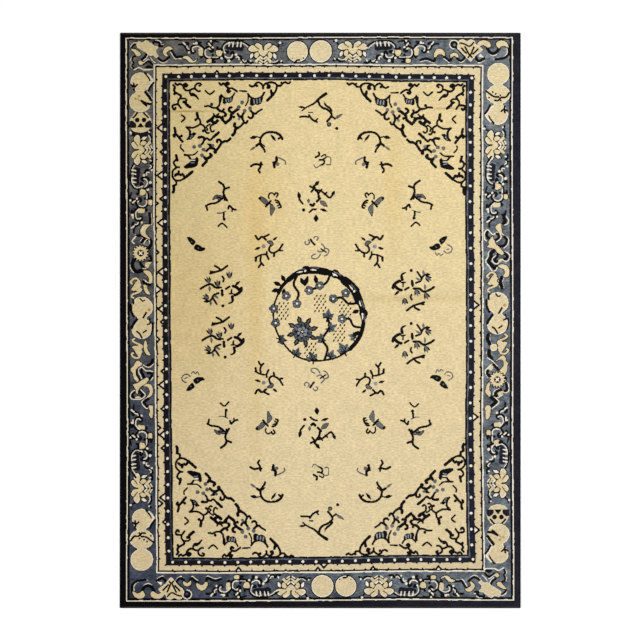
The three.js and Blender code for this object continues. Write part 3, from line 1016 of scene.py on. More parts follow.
def side_vines(c):
    c.line(
        INK, 2.15, (48.9, 1.8), (51, 4), (53, 2.2), (55.4, 4.5), (57.5, 6.5), (58.7, 7.5), (62.3, 7.5),
        (66.8, 10.6),
    )
    c.line(INK, 2.45, (55.4, 2.8), (57.1, 1.4), (58.7, 2.8), (57.1, 3.6))
    c.line(INK, 2.45, (58.7, 7.7), (57.1, 9.8), (58.3, 11.4), (59.9, 10.2))
    c.line(INK, 1.75, (69.4, 10), (72.1, 10.2), (76.2, 10.4))
    c.line(INK, 2.65, (4.4, 46.7), (5.2, 49.4), (5.6, 52.6), (8.1, 55.1), (10.5, 58.3), (12.4, 60.6))
    c.line(INK, 2.65, (5.6, 52.6), (3.6, 53.8), (4.4, 55.5))
    c.dot(INK, 11.4, 54.9, 1.55)
    c.line(INK, 1.75, (10.7, 63.9), (10.5, 66.8), (13.5, 70.2))
    c.line(
        INK, 2.15, (79.4, 4.3), (81.5, 5.5), (84.3, 4.7), (85.6, 2.4), (88.4, 1.2), (90.9, 2.4),
        (92.9, 4.9), (92.9, 7.3),
    )
    c.dot(INK, 86.8, 4.7, 1.45)
    c.line(
        INK, 2.25, (93.3, 4.3), (95.8, 2.2), (100.7, 1), (104.7, 1.8), (106.8, 4), (106.4, 7.3),
        (105.2, 10.2), (103.1, 13),
    )
    c.line(INK, 2.95, (103.6, 12.2), (101.1, 15.1), (97, 19.1))
    c.line(INK, 2.75, (97.8, 3.6), (99.4, 4.5), (99, 6.5), (97.4, 6.3))
    c.line(INK, 2.85, (100.9, 9.4), (101.5, 12.6))
    c.line(INK, 2.25, (106.8, 4.3), (110.5, 4.5), (112.5, 2.4), (115.4, 1), (118.2, 2.4), (120.3, 1))
    c.dot(INK, 111.3, 1.4, 1.15)
    c.line(INK, 2.65, (5.7, 74.2), (6.3, 76.5), (7, 79.4))
    c.line(INK, 2.15, (6.1, 74.8), (5.9, 78.2), (3.4, 81.1), (4.6, 84.5), (6.7, 86.2), (8.8, 86.2))
    c.line(
        INK, 2.15, (6.7, 86.2), (2.9, 89.5), (2.1, 92.9), (2.9, 96.7), (5.9, 99.6), (10.1, 99.6),
        (13.9, 97.5), (17.2, 95),
    )
    c.line(INK, 3.05, (14.6, 97), (18, 94.2), (21.9, 90.8))
    c.line(INK, 2.85, (5, 94.6), (6.3, 93.3), (8.4, 93.3), (8.4, 90.8))
    c.line(INK, 2.65, (10.5, 94.2), (12.2, 93.3), (13.9, 95.4))
    c.line(INK, 2.25, (5.9, 99.6), (6.3, 103.4), (4.6, 104.3), (3.4, 105.9))
    c.line(INK, 3.05, (3.4, 105), (3.8, 108.9), (2.9, 111.4))


def slope_vines(c):
    c.line(INK, 2.05, (49.9, 15), (49.7, 22.8), (46.9, 26.5), (42.8, 26.5), (39.1, 24.9), (35, 25.3))
    c.dot(INK, 41.8, 23.2, 1.55)
    c.line(INK, 2.75, (47.3, 26.9), (50.1, 29.8), (53.4, 30.6), (55.9, 33.4), (55, 34.9))
    c.dot(INK, 53.8, 28.3, 1.35)
    c.line(INK, 3.05, (27.1, 32.2), (27.9, 37))
    c.line(INK, 2.05, (27.9, 37), (29.7, 38.7), (29.9, 42.8), (24.4, 46.3), (20.3, 46.5), (16.3, 46.1))
    c.dot(INK, 25.6, 38.7, 1.55)
    c.line(INK, 2.05, (30.1, 42.8), (34.2, 45.3), (34.8, 48.9), (36.7, 51.8), (38.5, 51.8))
    c.dot(INK, 33, 49.8, 1.45)
    c.line(INK, 2.25, (16.7, 46.3), (19.9, 50.2), (19.5, 55.5), (17.5, 58.3))
    c.patch(
        INK, (22.8, 51.4), (26.5, 52.4), (24.8, 54.2), (23.6, 56.3), (20.7, 58.7), (18.5, 58.3), (20.3, 55),
    )
    c.dot(MIST, 21.8, 55, 0.9)
    c.dot(MIST, 20.6, 57, 0.7)
    c.line(INK, 3.05, (28.8, 56.3), (32, 55.9), (34.1, 57.1), (33.2, 60.9), (31.5, 63.4), taper=0.4)
    c.line(INK, 2.25, (34.1, 58.8), (37, 57.1), (40, 58.8), (44, 55))
    c.line(INK, 2.95, (44, 55.2), (48.4, 51.4))
    c.line(
        INK, 2.65, (36.2, 69.7), (39.1, 67.2), (42.9, 67.2), (46.7, 68.5), (51.3, 62.2), (54.7, 60.1),
        (57.2, 60.1), (60.2, 57.5),
    )
    c.line(INK, 2.35, (50.9, 61.7), (50.1, 58.8), (47.1, 58.8), (47.1, 60.9))
    c.dot(INK, 45, 70.6, 2.05)
    c.patch(INK, (36.6, 62.6), (40.5, 62.2), (43, 65), (42.5, 67.4), (39.8, 67), (38.6, 64.4))
    c.dot(SLATE, 42.8, 64.2, 1.5)
    c.line(INK, 3.05, (55.4, 42), (57.9, 40), (60.7, 37.5), (61.6, 33.4), (65.6, 29.8), (68.4, 28.1))
    c.line(INK, 2.65, (61.4, 31.4), (59.2, 29.4), (59.6, 27), (61.4, 26.4))
    c.dot(INK, 63.9, 36, 1.55)
    c.patch(INK, (66.6, 32.5), (68.5, 32), (70, 34.2), (71.8, 34.6), (72.2, 37.2), (69.5, 36.8), (67, 34.5))
    c.dot(SLATE, 69, 38, 1.5)
    c.line(INK, 2.35, (74.1, 31.8), (72.5, 34.2), (72.5, 37.9), (73.7, 41.2), (70.9, 44.9), (67.6, 46.9))
    c.line(INK, 2.25, (73.7, 41.2), (76, 42), (77.4, 39.8))
    c.line(INK, 3.05, (67.6, 46.9), (65.2, 48.5), (64.7, 51.4), (62.3, 54.2))
    c.line(INK, 3.05, (64.7, 42.8), (64.3, 44.9), (66, 46.9))
    c.line(INK, 2.75, (80.3, 28.9), (82.3, 31.4), (85.6, 32.6), (87.6, 30.6), (91.7, 28.1), taper=0.3)
    c.line(INK, 2.35, (83.1, 32.6), (82.7, 35.9), (80.3, 37.1), (78.6, 35.9))
    c.line(INK, 2.85, (34.1, 76.1), (35.3, 78.2), (36.2, 79.8), (32, 84.5))
    c.line(INK, 3.05, (36.2, 77.3), (39.1, 76.1), (41.2, 74.4), (40, 72.7))
    upper_seeds = (72, 21.6), (68.8, 26.3), (74.7, 29.6), (80, 27.3)
    lower_seeds = (24, 66), (29.7, 64.9), (33.4, 68.5), (31.8, 74.2)
    for x, y in upper_seeds + lower_seeds:
        c.dot(DOVE, x, y, 2)


def corner_garden(c):
    corner_vines(c)
    side_vines(c)
    slope_vines(c)
    lantern(c.at(58.6, 13.8, size=0.8))
    lantern(c.at(87, 13.3))
    dark_lantern(c.at(20.4, 78.6))
    crested_beast(c.at(44.4, 38.6))


FIELD_CORNERS = (
    # x, y, turn, flipped
    (-150.0, -239.9, 0, False),
    (146.8, -240.2, 0, True),
    (145.0, 237.3, 180, False),
    (-150.2, 236.6, 180, True),
)

for x, y, turn, flipped in FIELD_CORNERS:
    corner_garden(cartoon.at(*bent("field", x, y), turn, flipped))


# The field: flowering twigs, butterflies and moths, in pairs that face each other across the
# middle, with a few single ones down the middle line.


def bent_branch(c):
    c.line(
        INK, 3.35, (5.7, -17), (2.1, -14.7), (-1.4, -12.1), (-5.9, -8), (-10.8, -5.4), (-16.6, -2.7),
        taper=0.6,
    )
    c.leaf(INK, -15.8, -3.8, 184, 6.6, 2.4)
    c.line(INK, 1.55, (-18.4, -0.4), (-15.7, -2.7), (-12.1, -4.9))
    c.line(
        INK, 2.35, (-2.3, -11.6), (-1, -6.3), (2.1, -3.1), (5.7, -1.8), (9.3, 0.9), (11.1, 4.5),
        (6.6, 10.7),
    )
    c.line(INK, 2.15, (4.4, -7), (6.2, -4.8), (9.3, -2.7), (11.1, 0))
    c.line(DOVE, 1, (3.6, -9), (4.6, -7.4))
    c.line(INK, 1.95, (11.1, 5.4), (14.6, 8))
    c.leaf(DOVE, 14.4, 7.8, -32, 9, 2, edge=(INK, 0.45))
    c.dot(INK, 8.8, 13.6, 2.3)
    c.dot(DOVE, 8.8, 13.4, 1.3)
    c.dot(INK, 16.4, 17.4, 1.6)
    c.line(INK, 2.05, (-20.2, 5.8), (-16.6, 5.4), (-12.1, 5.8))
    c.line(INK, 2.05, (-11.4, 4), (-10, 6.4), (-7.7, 8.9), (-3.2, 11.2))
    c.line(INK, 1.25, (-11.7, 1.3), (-8.1, 1.3))
    c.line(INK, 1.75, (-4.8, 10), (-3, 7.8))


def arched_stem(c):
    c.line(INK, 2.35, (-5.4, 2), (-4.4, -3.4), (-0.7, -7.5), (4.7, -8.9), (10.8, -8.2))
    c.line(INK, 2.65, (10.8, -8.2), (14.9, -5.5), (16.9, -1.9))
    c.line(INK, 2.05, (15.8, -4), (13.3, -2))
    c.leaf(INK, 5.2, -6.6, 52, 9.4, 2.6)
    c.leaf(INK, -8, -4.5, 168, 8, 3.4)
    c.line(INK, 1.35, (-8.4, -4.3), (-4.7, -3.4))
    c.line(INK, 2.65, (-5.2, 2), (-8.8, 4.5))
    c.leaf(DOVE, -9.2, 5, 145, 7.8, 2.4)
    c.line(INK, 2.15, (-4.6, 4.2), (-1.4, 8), (-0.3, 10.8))
    c.line(INK, 1.35, (-4.7, 2), (-0.7, 5.3))


def small_tee(c):
    c.line(INK, 2.35, (-5.2, -1), (-1.1, -3), (4.3, -2))
    c.line(INK, 2.15, (4.9, -4.7), (4.3, -0.3), (2.2, 3), (3.6, 5.4))
    c.line(INK, 1.55, (4.3, -2.6), (6.4, -2.4))


def leaf_and_arc(c):
    c.line(INK, 2.75, (-3, -4.5), (-3, -0.7), (-5.5, 1.3), (-5.1, 5.3))
    c.line(INK, 2.05, (-6.6, 0.6), (-4.6, 2))
    c.dot(DOVE, -1.9, 2.4, 1.9)
    c.line(DOVE, 1.5, (-1, -4.1), (3.7, -2.1), (6.1, -0.1), (5.7, 2.3))


def curled_insect(c):
    c.line(INK, 2.15, (-3.9, -7.5), (-3.5, -4.8), (-7, -2.6))
    c.line(INK, 1.55, (-1.2, -3.5), (2.3, -5.3), (3.2, -2.6), (0.5, -0.8))
    c.line(INK, 1.95, (-3, 0.1), (1.4, 0.1), (1.4, 3.7), (-2.1, 5.4))
    c.line(DOVE, 1.1, (-8.4, 5), (-6.6, 7.7), (-3.9, 6.8), (-1.2, 4.6))
    c.line(DOVE, 1.3, (3.2, -3.5), (7.7, -2.6), (8.1, 1.9), (7.7, 4.6), (4.1, 4.6))


def flower_sprig(c):
    c.leaf(INK, -1.8, -14.8, -47, 7.4, 3.6)
    c.line(INK, 2.35, (-2.3, -15), (-1, -11.4), (1.7, -7.9), (2.6, -2.5))
    c.line(INK, 2.15, (-6.3, -14.6), (-2.8, -12.3), (-5, -9.2))
    c.line(INK, 2.05, (-0.1, -11), (4.4, -10.1), (8.8, -7), (13.3, -3.4), (16, -6.2))
    c.line(INK, 1.75, (3, -8.6), (5.4, -11.6))
    c.line(INK, 1.75, (8, -6.6), (10.4, -8.6))
    c.leaf(INK, 15.4, -5.6, -58, 6.2, 3.2)
    c.line(INK, 2.55, (0.6, 0.6), (3.6, -2.6))
    c.leaf(DOVE, 4, 0, 36, 8.6, 4, edge=(INK, 0.55))
    c.leaf(INK, -16.4, -1.6, -102, 7.8, 3.8)
    c.line(INK, 2.05, (-17, -1.6), (-13.5, 2.9))
    c.leaf(DOVE, -7.7, 2.4, -90, 5.2, 3)
    c.line(INK, 2.75, (-5.8, 3.6), (-3.8, 4.8), (-2.1, 3))
    c.dot(INK, -12.6, 9.1, 1.7)
    c.line(INK, 2.05, (-6.8, 11.3), (-3.7, 8.7), (-0.5, 8.2))
    c.leaf(INK, 3.7, 7.8, 18, 8.4, 2.8)
    c.leaf(INK, -0.6, 21, -86, 7.6, 4.6)


def tall_sprig(c):
    c.line(INK, 2.35, (-1.4, -22.4), (3, -19.1), (4.1, -15.7), (3.4, -11), (5.7, -5.5), (7.1, -3.5))
    c.line(INK, 2.35, (4.1, -15), (9.1, -16.7))
    c.line(INK, 1.75, (3.6, -8.6), (4.6, -3.8))
    c.patch(
        DOVE, (-7.4, -4.6), (-4.4, -8.4), (-0.3, -8.2), (3, -7.6), (1.7, -4.9), (-1, -3.3), (-2.4, -5.6),
        (-5, -5.6), edge=(INK, 0.75),
    )
    c.line(INK, 1.55, (-3, -6.8), (0.4, -6.4))
    c.line(INK, 2.15, (2.6, -6), (-0.3, -3.5), (-4.4, -1.1), (-10.5, -0.1), (-14.5, 1.9))
    c.line(INK, 2.05, (-13.7, 2.2), (-12.8, 5.9))
    c.line(INK, 2.05, (8.1, 4.6), (9.1, 1.6), (12.5, 4.6), (15.6, 5.6))
    c.line(INK, 1.75, (12, 4.2), (11.8, 7))
    c.line(DOVE, 1.3, (-2.7, 9), (1, 9), (5.4, 7.3))
    c.line(INK, 2.05, (3.4, 8.6), (3.7, 13.4))
    c.dot(INK, 4.1, 15.1, 1.6)
    c.line(INK, 1.75, (-1.8, 22.3), (2.2, 19.3), (6.8, 23.3))


def butterfly(c):
    c.patch(
        DOVE, (-11.1, -5.5), (-8.4, -6.9), (-4.3, -4.2), (-2.3, -1.5), (-5, 0.5), (-7.7, -2.2),
        edge=(INK, 0.65),
    )
    c.dot(INK, -10, -5.6, 1.3)
    c.patch(DOVE, (0.4, 0), (3.8, 3.2), (4.5, 5.3), (2.4, 9.3), (0.7, 11.7), (0.1, 6.6), edge=(INK, 0.55))
    c.line(INK, 2.15, (0.7, -2.8), (-4.3, 2.6))
    c.line(INK, 1.55, (-1.3, -5.2), (-1.3, -8.9), (1.1, -11), (4.5, -9))
    c.line(INK, 1.75, (4.3, -8.8), (5.8, -11), (7.8, -9.6), (6.3, -6.9))
    c.line(INK, 1.95, (5.1, -3.5), (7.8, -2.8), (9.9, 0.5), (10.5, 3.2), (8.5, 3.9))
    c.line(INK, 1.55, (5.8, -1.5), (8, -0.7))
    c.line(INK, 1.55, (7.2, 1.9), (9.2, 1))


def moth_wings(c):
    c.patch(INK, (-11.2, -1), (-8.7, -4), (-3.6, -4), (0.5, -1.2), (-1.5, 2.7), (-5, 2), (-8, -0.2))
    c.patch(INK, (-1, 4.7), (1.5, 1.6), (5.6, 5.7), (7.4, 9.8), (3.6, 9.6), (-0.5, 6.7))
    c.dot(DOVE, -4, -1, 0.8)
    c.dot(DOVE, 2.6, 5.4, 0.8)


def moth(c):
    moth_wings(c)
    c.line(DOVE, 1.2, (-5.1, -6.3), (-3.6, -9.2), (-1.4, -7.4), (0.2, -9.4), (2.4, -7.8))
    c.line(DOVE, 1.3, (3.6, -4.5), (6.6, -7), (10.7, -5.5), (11.7, -1.4), (7.7, 1.6))
    c.line(DOVE, 1.1, (6.4, -3.6), (9, -2.6))


def posy(c):
    c.line(INK, 2.25, (-10.6, -13.4), (-6, -14.9), (-0.7, -16.4), (3.1, -18.7), (6.6, -21.4))
    c.line(INK, 2.15, (-6, -21), (-2.2, -19.1), (0.1, -16.4))
    c.line(INK, 1.75, (-10.2, -15.6), (-6, -15))
    for x, y, turn in ((-11.2, -3.6, -115), (-2.2, 0, -105), (9, -8.6, -95), (-11.4, 12, -150)):
        there = c.at(x, y, turn)
        there.leaf(INK, 0, 0, -24, 7.6, 2.4)
        there.leaf(INK, 0, 0, 24, 7.2, 2.4)
        there.leaf(DOVE, 0, 0, 0, 8, 2.6)
    c.line(INK, 2.35, (-20.2, 1.9), (-16.8, -0.4), (-11.4, -2.7), (-8.3, -1.9), (-5.3, 0.4), (0.1, 0.4))
    c.leaf(DOVE, -11.4, -1.4, 86, 6.4, 2.6)
    c.line(INK, 2.05, (1.6, -10.7), (3.1, -8.2), (2.2, -5.6))
    c.leaf(INK, 14.2, -1.5, -42, 7, 2.8)
    c.line(INK, 3.05, (12.3, -1.1), (16.1, 0.4), (18.6, 2.9))
    c.line(INK, 3.05, (20.7, 1.1), (20, 4.2), (16.1, 7.3), (13.9, 8))
    c.line(INK, 2.25, (8.7, -0.6), (5.2, 1.6))
    c.line(INK, 1.75, (10.8, 2.7), (10.4, 6.7))
    c.line(INK, 1.55, (8.6, 6.8), (12.2, 6.6))
    c.line(INK, 2.75, (1.2, 3.4), (1.6, 8))
    c.line(INK, 3.15, (11.5, 9.6), (11.9, 14.2), (8.3, 16.5), taper=0.6)
    c.dot(INK, 2.4, 18.7, 1.6)
    c.line(INK, 2.15, (-2.2, 6.1), (-6.8, 8), (-8.3, 11.1), (-10.6, 14.2))
    c.leaf(DOVE, -7, 8.4, 30, 6, 2.4)
    c.line(INK, 2.05, (-7.6, 11.1), (-3.7, 17.2))
    c.leaf(INK, -10.2, 13.8, 172, 7, 3.2)
    c.leaf(DOVE, -9.9, 13.6, 88, 5.4, 2.6)


def loose_sprig(c):
    c.line(INK, 2.25, (-12.6, -15.2), (-9.9, -11.4), (-6.1, -14.1), (-1.9, -11))
    c.line(INK, 1.95, (-4.6, -13.7), (0.8, -16.4))
    c.leaf(INK, 4.6, -10.4, -38, 6.2, 2.4)
    c.patch(DOVE, (-0.6, -9.1), (3.1, -9.7), (5, -6.8), (2.3, -4.7), (2, -7), edge=(INK, 0.75))
    c.line(
        INK, 2.05, (2.3, -5.4), (0.8, -1.1), (3.1, 1.6), (6.5, 1.6), (10.7, -1.1), (13, -4.1), (14.5, -6.8),
    )
    c.line(INK, 1.75, (10.7, -0.7), (14.5, -0.3))
    c.line(INK, 2.15, (6.1, 2), (5.7, 5.4))
    c.dot(MIST, -4.6, -4.5, 2)
    c.leaf(INK, -7.4, -3.5, 163, 6.8, 2.6)
    c.line(INK, 1.75, (-1.5, 0.8), (-1.9, 3.1), (-6.9, 3.9), (-13, 6.6))
    c.line(INK, 2.15, (-1.9, 3.3), (0.4, 8.1))
    c.line(INK, 2.05, (-7.3, 4.7), (-7.7, 10.4), (-4.6, 14.6))
    c.line(INK, 2.05, (-7.7, 13.3), (-9.6, 16.5))
    c.line(INK, 2.35, (-12.2, 7.3), (-12.6, 10))


def outline_butterfly(c):
    c.arc(DOVE, 1.3, -11.2, -5.4, 2.8, -60, 220, shrink=0.4)
    c.arc(DOVE, 1.3, -2, -9.5, 2.5, 180, 440, shrink=0.4)
    c.line(INK, 2.05, (-7.6, -8.5), (-5.4, -5.4), (-3.5, -3.4))
    c.line(DOVE, 1.4, (3.6, -4.4), (6.7, -0.3), (3.6, 3.7), (-0.4, 2.7))
    c.line(DOVE, 1.4, (6.7, -0.3), (10.8, 1.7), (9.8, 5.8), (6.7, 7.8))
    c.line(INK, 1.55, (3, 0.6), (8.4, 4))
    c.line(DOVE, 1.3, (2.6, 5.8), (-0.4, 9.9), (-5.6, 10.4), (-6.1, 7.8), (-2.5, 5.8))


# Pairs: each motif is drawn left and right, and once more in each, upside down, in the near half.
PAIRS = (
    # motif, distance of each of the four from the middle: far left, far right, near right, near left
    (arched_stem, (-55.1, -179.4), (54.9, -179.4), (56.4, 172.6), (-54.6, 172.6)),
    (small_tee, (-64.1, -153.4), (65.9, -153.4), (64.9, 145.6), (-64.6, 145.6)),
    (leaf_and_arc, (-40.6, -158.4), (41.4, -158.4), (43.4, 150.1), (-41.6, 150.1)),
    (tall_sprig, (-100.1, -116.4), (97.9, -117.4), (96.4, 105.6), (-98.1, 105.1)),
    (butterfly, (-50.1, -116.4), (52.4, -116.4), (53.9, 101.6), (-53.1, 102.6)),
    (loose_sprig, (-52.1, -69.4), (49.9, -69.4), (50.9, 58.6), (-52.1, 57.6)),
)
SINGLES = (
    # motif, x, y, turn, flipped
    (bent_branch, -0.1, -209.4, 0, False),
    (bent_branch, 0.9, 201.6, 180, True),
    (curled_insect, 2.4, -160.4, 0, False),
    (curled_insect, 0.4, 151.6, 180, True),
    (flower_sprig, -4.1, -119.4, 0, False),
    (flower_sprig, -3.1, 108.1, 180, True),
    (moth_wings, -126.1, -73.4, 180, False),
    (moth, 119.9, -74.4, 180, True),
    (moth, 120.4, 58.6, 0, False),
    (moth, -126.6, 60.6, 0, True),
    (outline_butterfly, -2.1, -72.4, 0, False),
    (outline_butterfly, -2.6, 58.6, 180, True),
    (posy, -99.6, -33.4, 0, False),
    (posy, 93.4, -31.4, 180, False),
    (posy, -97.6, 18.1, 0, False),
    (posy, 93.4, 21.6, 180, False),
)
FOUR_WAYS = ((0, False), (0, True), (180, False), (180, True))  # turn, flipped

for motif, *places in PAIRS:
    for (x, y), (turn, flipped) in zip(places, FOUR_WAYS):
        motif(cartoon.at(x, y, turn, flipped))
for motif, x, y, turn, flipped in SINGLES:
    motif(cartoon.at(x, y, turn, flipped))


# The middle: a plum bough bent round into a ring about an opened peony, over fans of leaves
# and showers of seeds. It is our own design in the place of the one that the carpet shows.

ROUNDEL_PLACE = (-1.5, -6.2)


def plum_blossom(c):
    for petal in range(5):
        c.at(0, 0, 72 * petal - 90).dot(SLATE, 2.6, 0, 1.8, edge=(INK, 0.6))
    c.dot(IVORY, 0, 0, 1.1)


def peony(c):
    for turn in range(15, 360, 45):
        c.at(0, 0, turn).leaf(INK, 9, 0, 0, 10, 5.6)
        c.at(0, 0, turn).leaf(DOVE, 11, 0, 0, 5.6, 2)
    for petal in range(9):
        there = c.at(0, 0, 40 * petal)
        there.dot(SLATE, 7.6, 0, 3.6, edge=(INK, 0.9))
        there.line(INK, 1, (7, 0), (10, 0))
    for petal in range(6):
        c.at(0, 0, 60 * petal + 20).dot(MIST, 3.8, 0, 2.4, edge=(INK, 0.8))
    c.dot(INK, 0, 0, 2.4)
    c.dot(CREAM, 0, 0, 1.2)


def leaf_fan(c):
    """Three broad veined leaves and two buds on one short stalk, which comes from the left."""
    c.line(INK, 1.9, (-5, 1), (0, 0))
    for turn, length in ((-52, 9), (52, 9), (0, 11.5)):
        c.leaf(SLATE, 0, 0, turn, length, 5.2, edge=(INK, 0.5))
        c.at(0, 0, turn).line(INK, 1.2, (0, 0), (length * 0.85, 0), taper=0.5)
    for turn in (-96, 96):
        c.at(0, 0, turn).line(INK, 1.2, (0, 0), (4, -0.6))
        c.at(0, 0, turn).dot(INK, 5, -0.8, 1.3)


def seeds(c):
    """A shower of seeds: short strokes in slanting rows."""
    for row in range(6):
        for place in range(3):
            x = 4.4 * place - 5 + 2.2 * (row % 2)
            y = 3.2 * row - 8
            c.line(INK, 1.4, (x, y), (x + 0.6, y + 1.2))


LIMBS = (
    # width of the bough, then the way it runs there
    (4.4, (-33, 36), (-42, 25), (-46, 12), (-46.5, 0)),
    (6.6, (-46.5, 3), (-44.5, -9), (-40, -20)),
    (9, (-42, -14), (-36, -27), (-27, -35)),
    (6.2, (-29, -34), (-18, -41), (-6, -44.5)),
    (7.6, (-8, -44), (2, -45.8), (12, -45.5)),
    (5.6, (10, -45.6), (22, -42.4), (31, -36)),
    (3.6, (30, -37), (38, -29), (42, -22)),
    (1.9, (42, -22), (47, -8), (46.5, 8), (41, 24), (28, 40), (12, 47.5), (-4, 48.4), (-20, 44.6), (-33, 36)),
    (2.6, (-41, -12), (-31, -11), (-24, -17), (-17, -16)),
    (2.6, (-12, -42), (-8, -33), (1, -28), (8, -26)),
    (2.6, (22, -41), (26, -31), (21, -22), (23, -15)),
    (2.4, (-45, 14), (-36, 12), (-32, 5), (-26, 5)),
    (2.6, (-6, 48), (-9, 36), (-4, 26), (-11, 14), (-9, 4)),
)
BARK = ((-45.6, 6, -86), (-44, -8, -74), (-36, -25, -52), (-20, -39.5, -30), (2, -46, -4), (16, -44.6, 12))
BLOSSOMS = ((-15, -16), (-28, -22), (10, -25), (-1, -30), (23, -11), (34, -19), (-24, 5), (47, -6), (45, 9))
FANS = (
    # place, turn and size
    (-27, 39, -58, 0.9),
    (-38, 24, -20, 0.65),
    (-12, 45, -112, 0.7),
    (6, 47.6, -70, 0.8),
    (24, 42, -115, 0.7),
    (41, 26, 170, 0.7),
    (-9, 4, -96, 0.8),
    (-11, 15, -158, 0.7),
    (-4, 26, -18, 0.7),
)
DARK_LEAVES = (
    # place, turn and length
    (4, -41, 104, 11),
    (11, -40, 72, 12),
    (19, -38, 118, 9),
    (35, -34, -62, 8),
    (39, -30, -24, 9),
    (41, -26, 14, 9),
    (36, -27, 84, 9),
    (-42, -4, 18, 8),
    (-43, 18, 28, 9),
)
SEEDS = ((-28, -5), (-2, -12), (37, -4), (-22, 19), (8, 38))


def roundel(c):
    for width, *way in LIMBS:
        c.line(INK, width, *way)
    for knot_x, knot_y in ((-46.5, -1), (-38, -25), (-17, -42), (13, -46)):
        c.dot(INK, knot_x, knot_y, 4.6)
        c.dot(IVORY, knot_x + 1, knot_y + 1, 1.2)
    for x, y, turn in BARK:
        c.leaf(IVORY, x, y, turn, 7, 1.5)
        c.at(x, y, turn).line(SLATE, 1, (-2, -2.2), (3, -2.4), (6, -1.9))
    for x, y in SEEDS:
        seeds(c.at(x, y))
    for x, y, turn, size in FANS:
        leaf_fan(c.at(x, y, turn, size=size))
    for x, y, turn, length in DARK_LEAVES:
        c.leaf(INK, x, y, turn, length, 4.4)
    for x, y in BLOSSOMS:
        plum_blossom(c.at(x, y, 31 * x))
    peony(c.at(17, 18, size=0.9))


roundel(cartoon.at(*ROUNDEL_PLACE, flip=True, size=0.96))


# The pile: wool tufts knotted row by row and sheared level, one closed body from the ground
# up. Its top is parted along the cartoon's colours, its side stands straight above the
# edge, and its rim is rounded by wear.

GROUND = 0.003
WORN_EDGE = 0.003
RIM_STEP = 12  # knots between points along the rim
FILL_STEP = 14  # knots between the points that carry the pile's slight unevenness
SMOOTHING = 0.3  # knots by which a drawn edge may leave its stair of knots
LEFT_LEAN = 0.0027  # how far the left side runs outwards from the far end to the near end
SWAY = 0.0014  # how far the bands wander from straight


def colour_edges(knots):
    """Steps along every line where two yarns meet, in half knots: corners are cut across."""
    a, b = knots[:-1, :-1], knots[:-1, 1:]
    c, d = knots[1:, :-1], knots[1:, 1:]
    crossed = np.stack([a != b, b != d, c != d, a != c], axis=-1)
    offsets = np.array([(0, -1), (1, 0), (0, 1), (-1, 0)])
    row, column = np.nonzero(crossed.any(axis=-1))
    steps = []
    for r, k in zip(row.tolist(), column.tolist()):
        middle = (2 * k + 2, 2 * r + 2)
        ends = [(middle[0] + x, middle[1] + y) for (x, y), on in zip(offsets.tolist(), crossed[r, k]) if on]
        if len(ends) == 2:
            steps.append((ends[0], ends[1]))
        else:
            steps.extend((end, middle) for end in ends)
    return steps


def chains(steps):
    """Joins the steps into lines that run from one junction to the next, or round in a ring."""
    beside = {}
    for p, q in steps:
        beside.setdefault(p, []).append(q)
        beside.setdefault(q, []).append(p)
    walked = set()

    def walk(start, onward):
        line = [start, onward]
        walked.add((start, onward))
        walked.add((onward, start))
        while len(beside[line[-1]]) == 2 and line[-1] != start:
            one, other = beside[line[-1]]
            ahead = other if one == line[-2] else one
            walked.add((line[-1], ahead))
            walked.add((ahead, line[-1]))
            line.append(ahead)
        return line

    junctions = [p for p, others in beside.items() if len(others) != 2]
    lines = [walk(p, q) for p in junctions for q in beside[p] if (p, q) not in walked]
    lines += [walk(p, others[0]) for p, others in beside.items() if (p, others[0]) not in walked]
    return lines


def thinned(line):
    """Leaves out the points that a straight line comes within SMOOTHING of, up to FILL_STEP long."""
    points = np.array(line, float) / 2
    keep = np.zeros(len(points), bool)
    keep[[0, -1]] = True
    spans = [(0, len(points) - 1)]
    if line[0] == line[-1]:
        far = int(np.argmax(np.linalg.norm(points - points[0], axis=1)))
        keep[far] = True
        spans = [(0, far), (far, len(points) - 1)]
    while spans:
        first, last = spans.pop()
        if last - first < 2:
            continue
        along = points[last] - points[first]
        away = points[first + 1 : last] - points[first]
        length = np.hypot(*along)
        off = np.abs(along[0] * away[:, 1] - along[1] * away[:, 0]) / max(length, 1e-9)
        if off.max() <= SMOOTHING and length <= FILL_STEP:
            continue
        middle = first + 1 + int(off.argmax()) if off.max() > SMOOTHING else (first + last) // 2
        keep[middle] = True
        spans += [(first, middle), (middle, last)]
    return points[keep]


def yarn_at(knots, places):
    """The yarn at each place, in knots, with the corners cut as colour_edges cuts them."""
    column = np.clip(places[:, 0].astype(int), 0, COLUMNS - 1)
    row = np.clip(places[:, 1].astype(int), 0, ROWS - 1)
    from_middle = places - np.stack([column, row], axis=1) - 0.5
    side = np.where(from_middle < 0, -1, 1)
    beside = np.clip(column + side[:, 0], 0, COLUMNS - 1)
    above = np.clip(row + side[:, 1], 0, ROWS - 1)
    own = knots[row, column]
    across, along, over = knots[row, beside], knots[above, column], knots[above, beside]
    cut = (across == along) & (across == over) & (own != across)
    return np.where(cut & (np.abs(from_middle).sum(axis=1) > 0.5), across, own)


def rim_loop():
    """The cartoon's rim in knots, once round from its first corner."""
    across = np.linspace(0, COLUMNS, COLUMNS // RIM_STEP + 1)[:-1]
    down = np.linspace(0, ROWS, ROWS // RIM_STEP + 1)[:-1]
    return np.vstack([
        np.stack([across, np.zeros(len(across))], axis=1),
        np.stack([np.full(len(down), COLUMNS), down], axis=1),
        np.stack([COLUMNS - across, np.full(len(across), ROWS)], axis=1),
        np.stack([np.zeros(len(down)), ROWS - down], axis=1),
    ])


def triangulate(points, edges):
    """Triangles over all the points, with every edge kept, and where each rim point went."""
    found, _, faces, came_from, _, _ = delaunay_2d_cdt([Vector(p) for p in points], edges, [], 0, 1e-5)
    now_at = {old: new for new, olds in enumerate(came_from) for old in olds}
    return np.array([tuple(p) for p in found]), np.array(faces), now_at


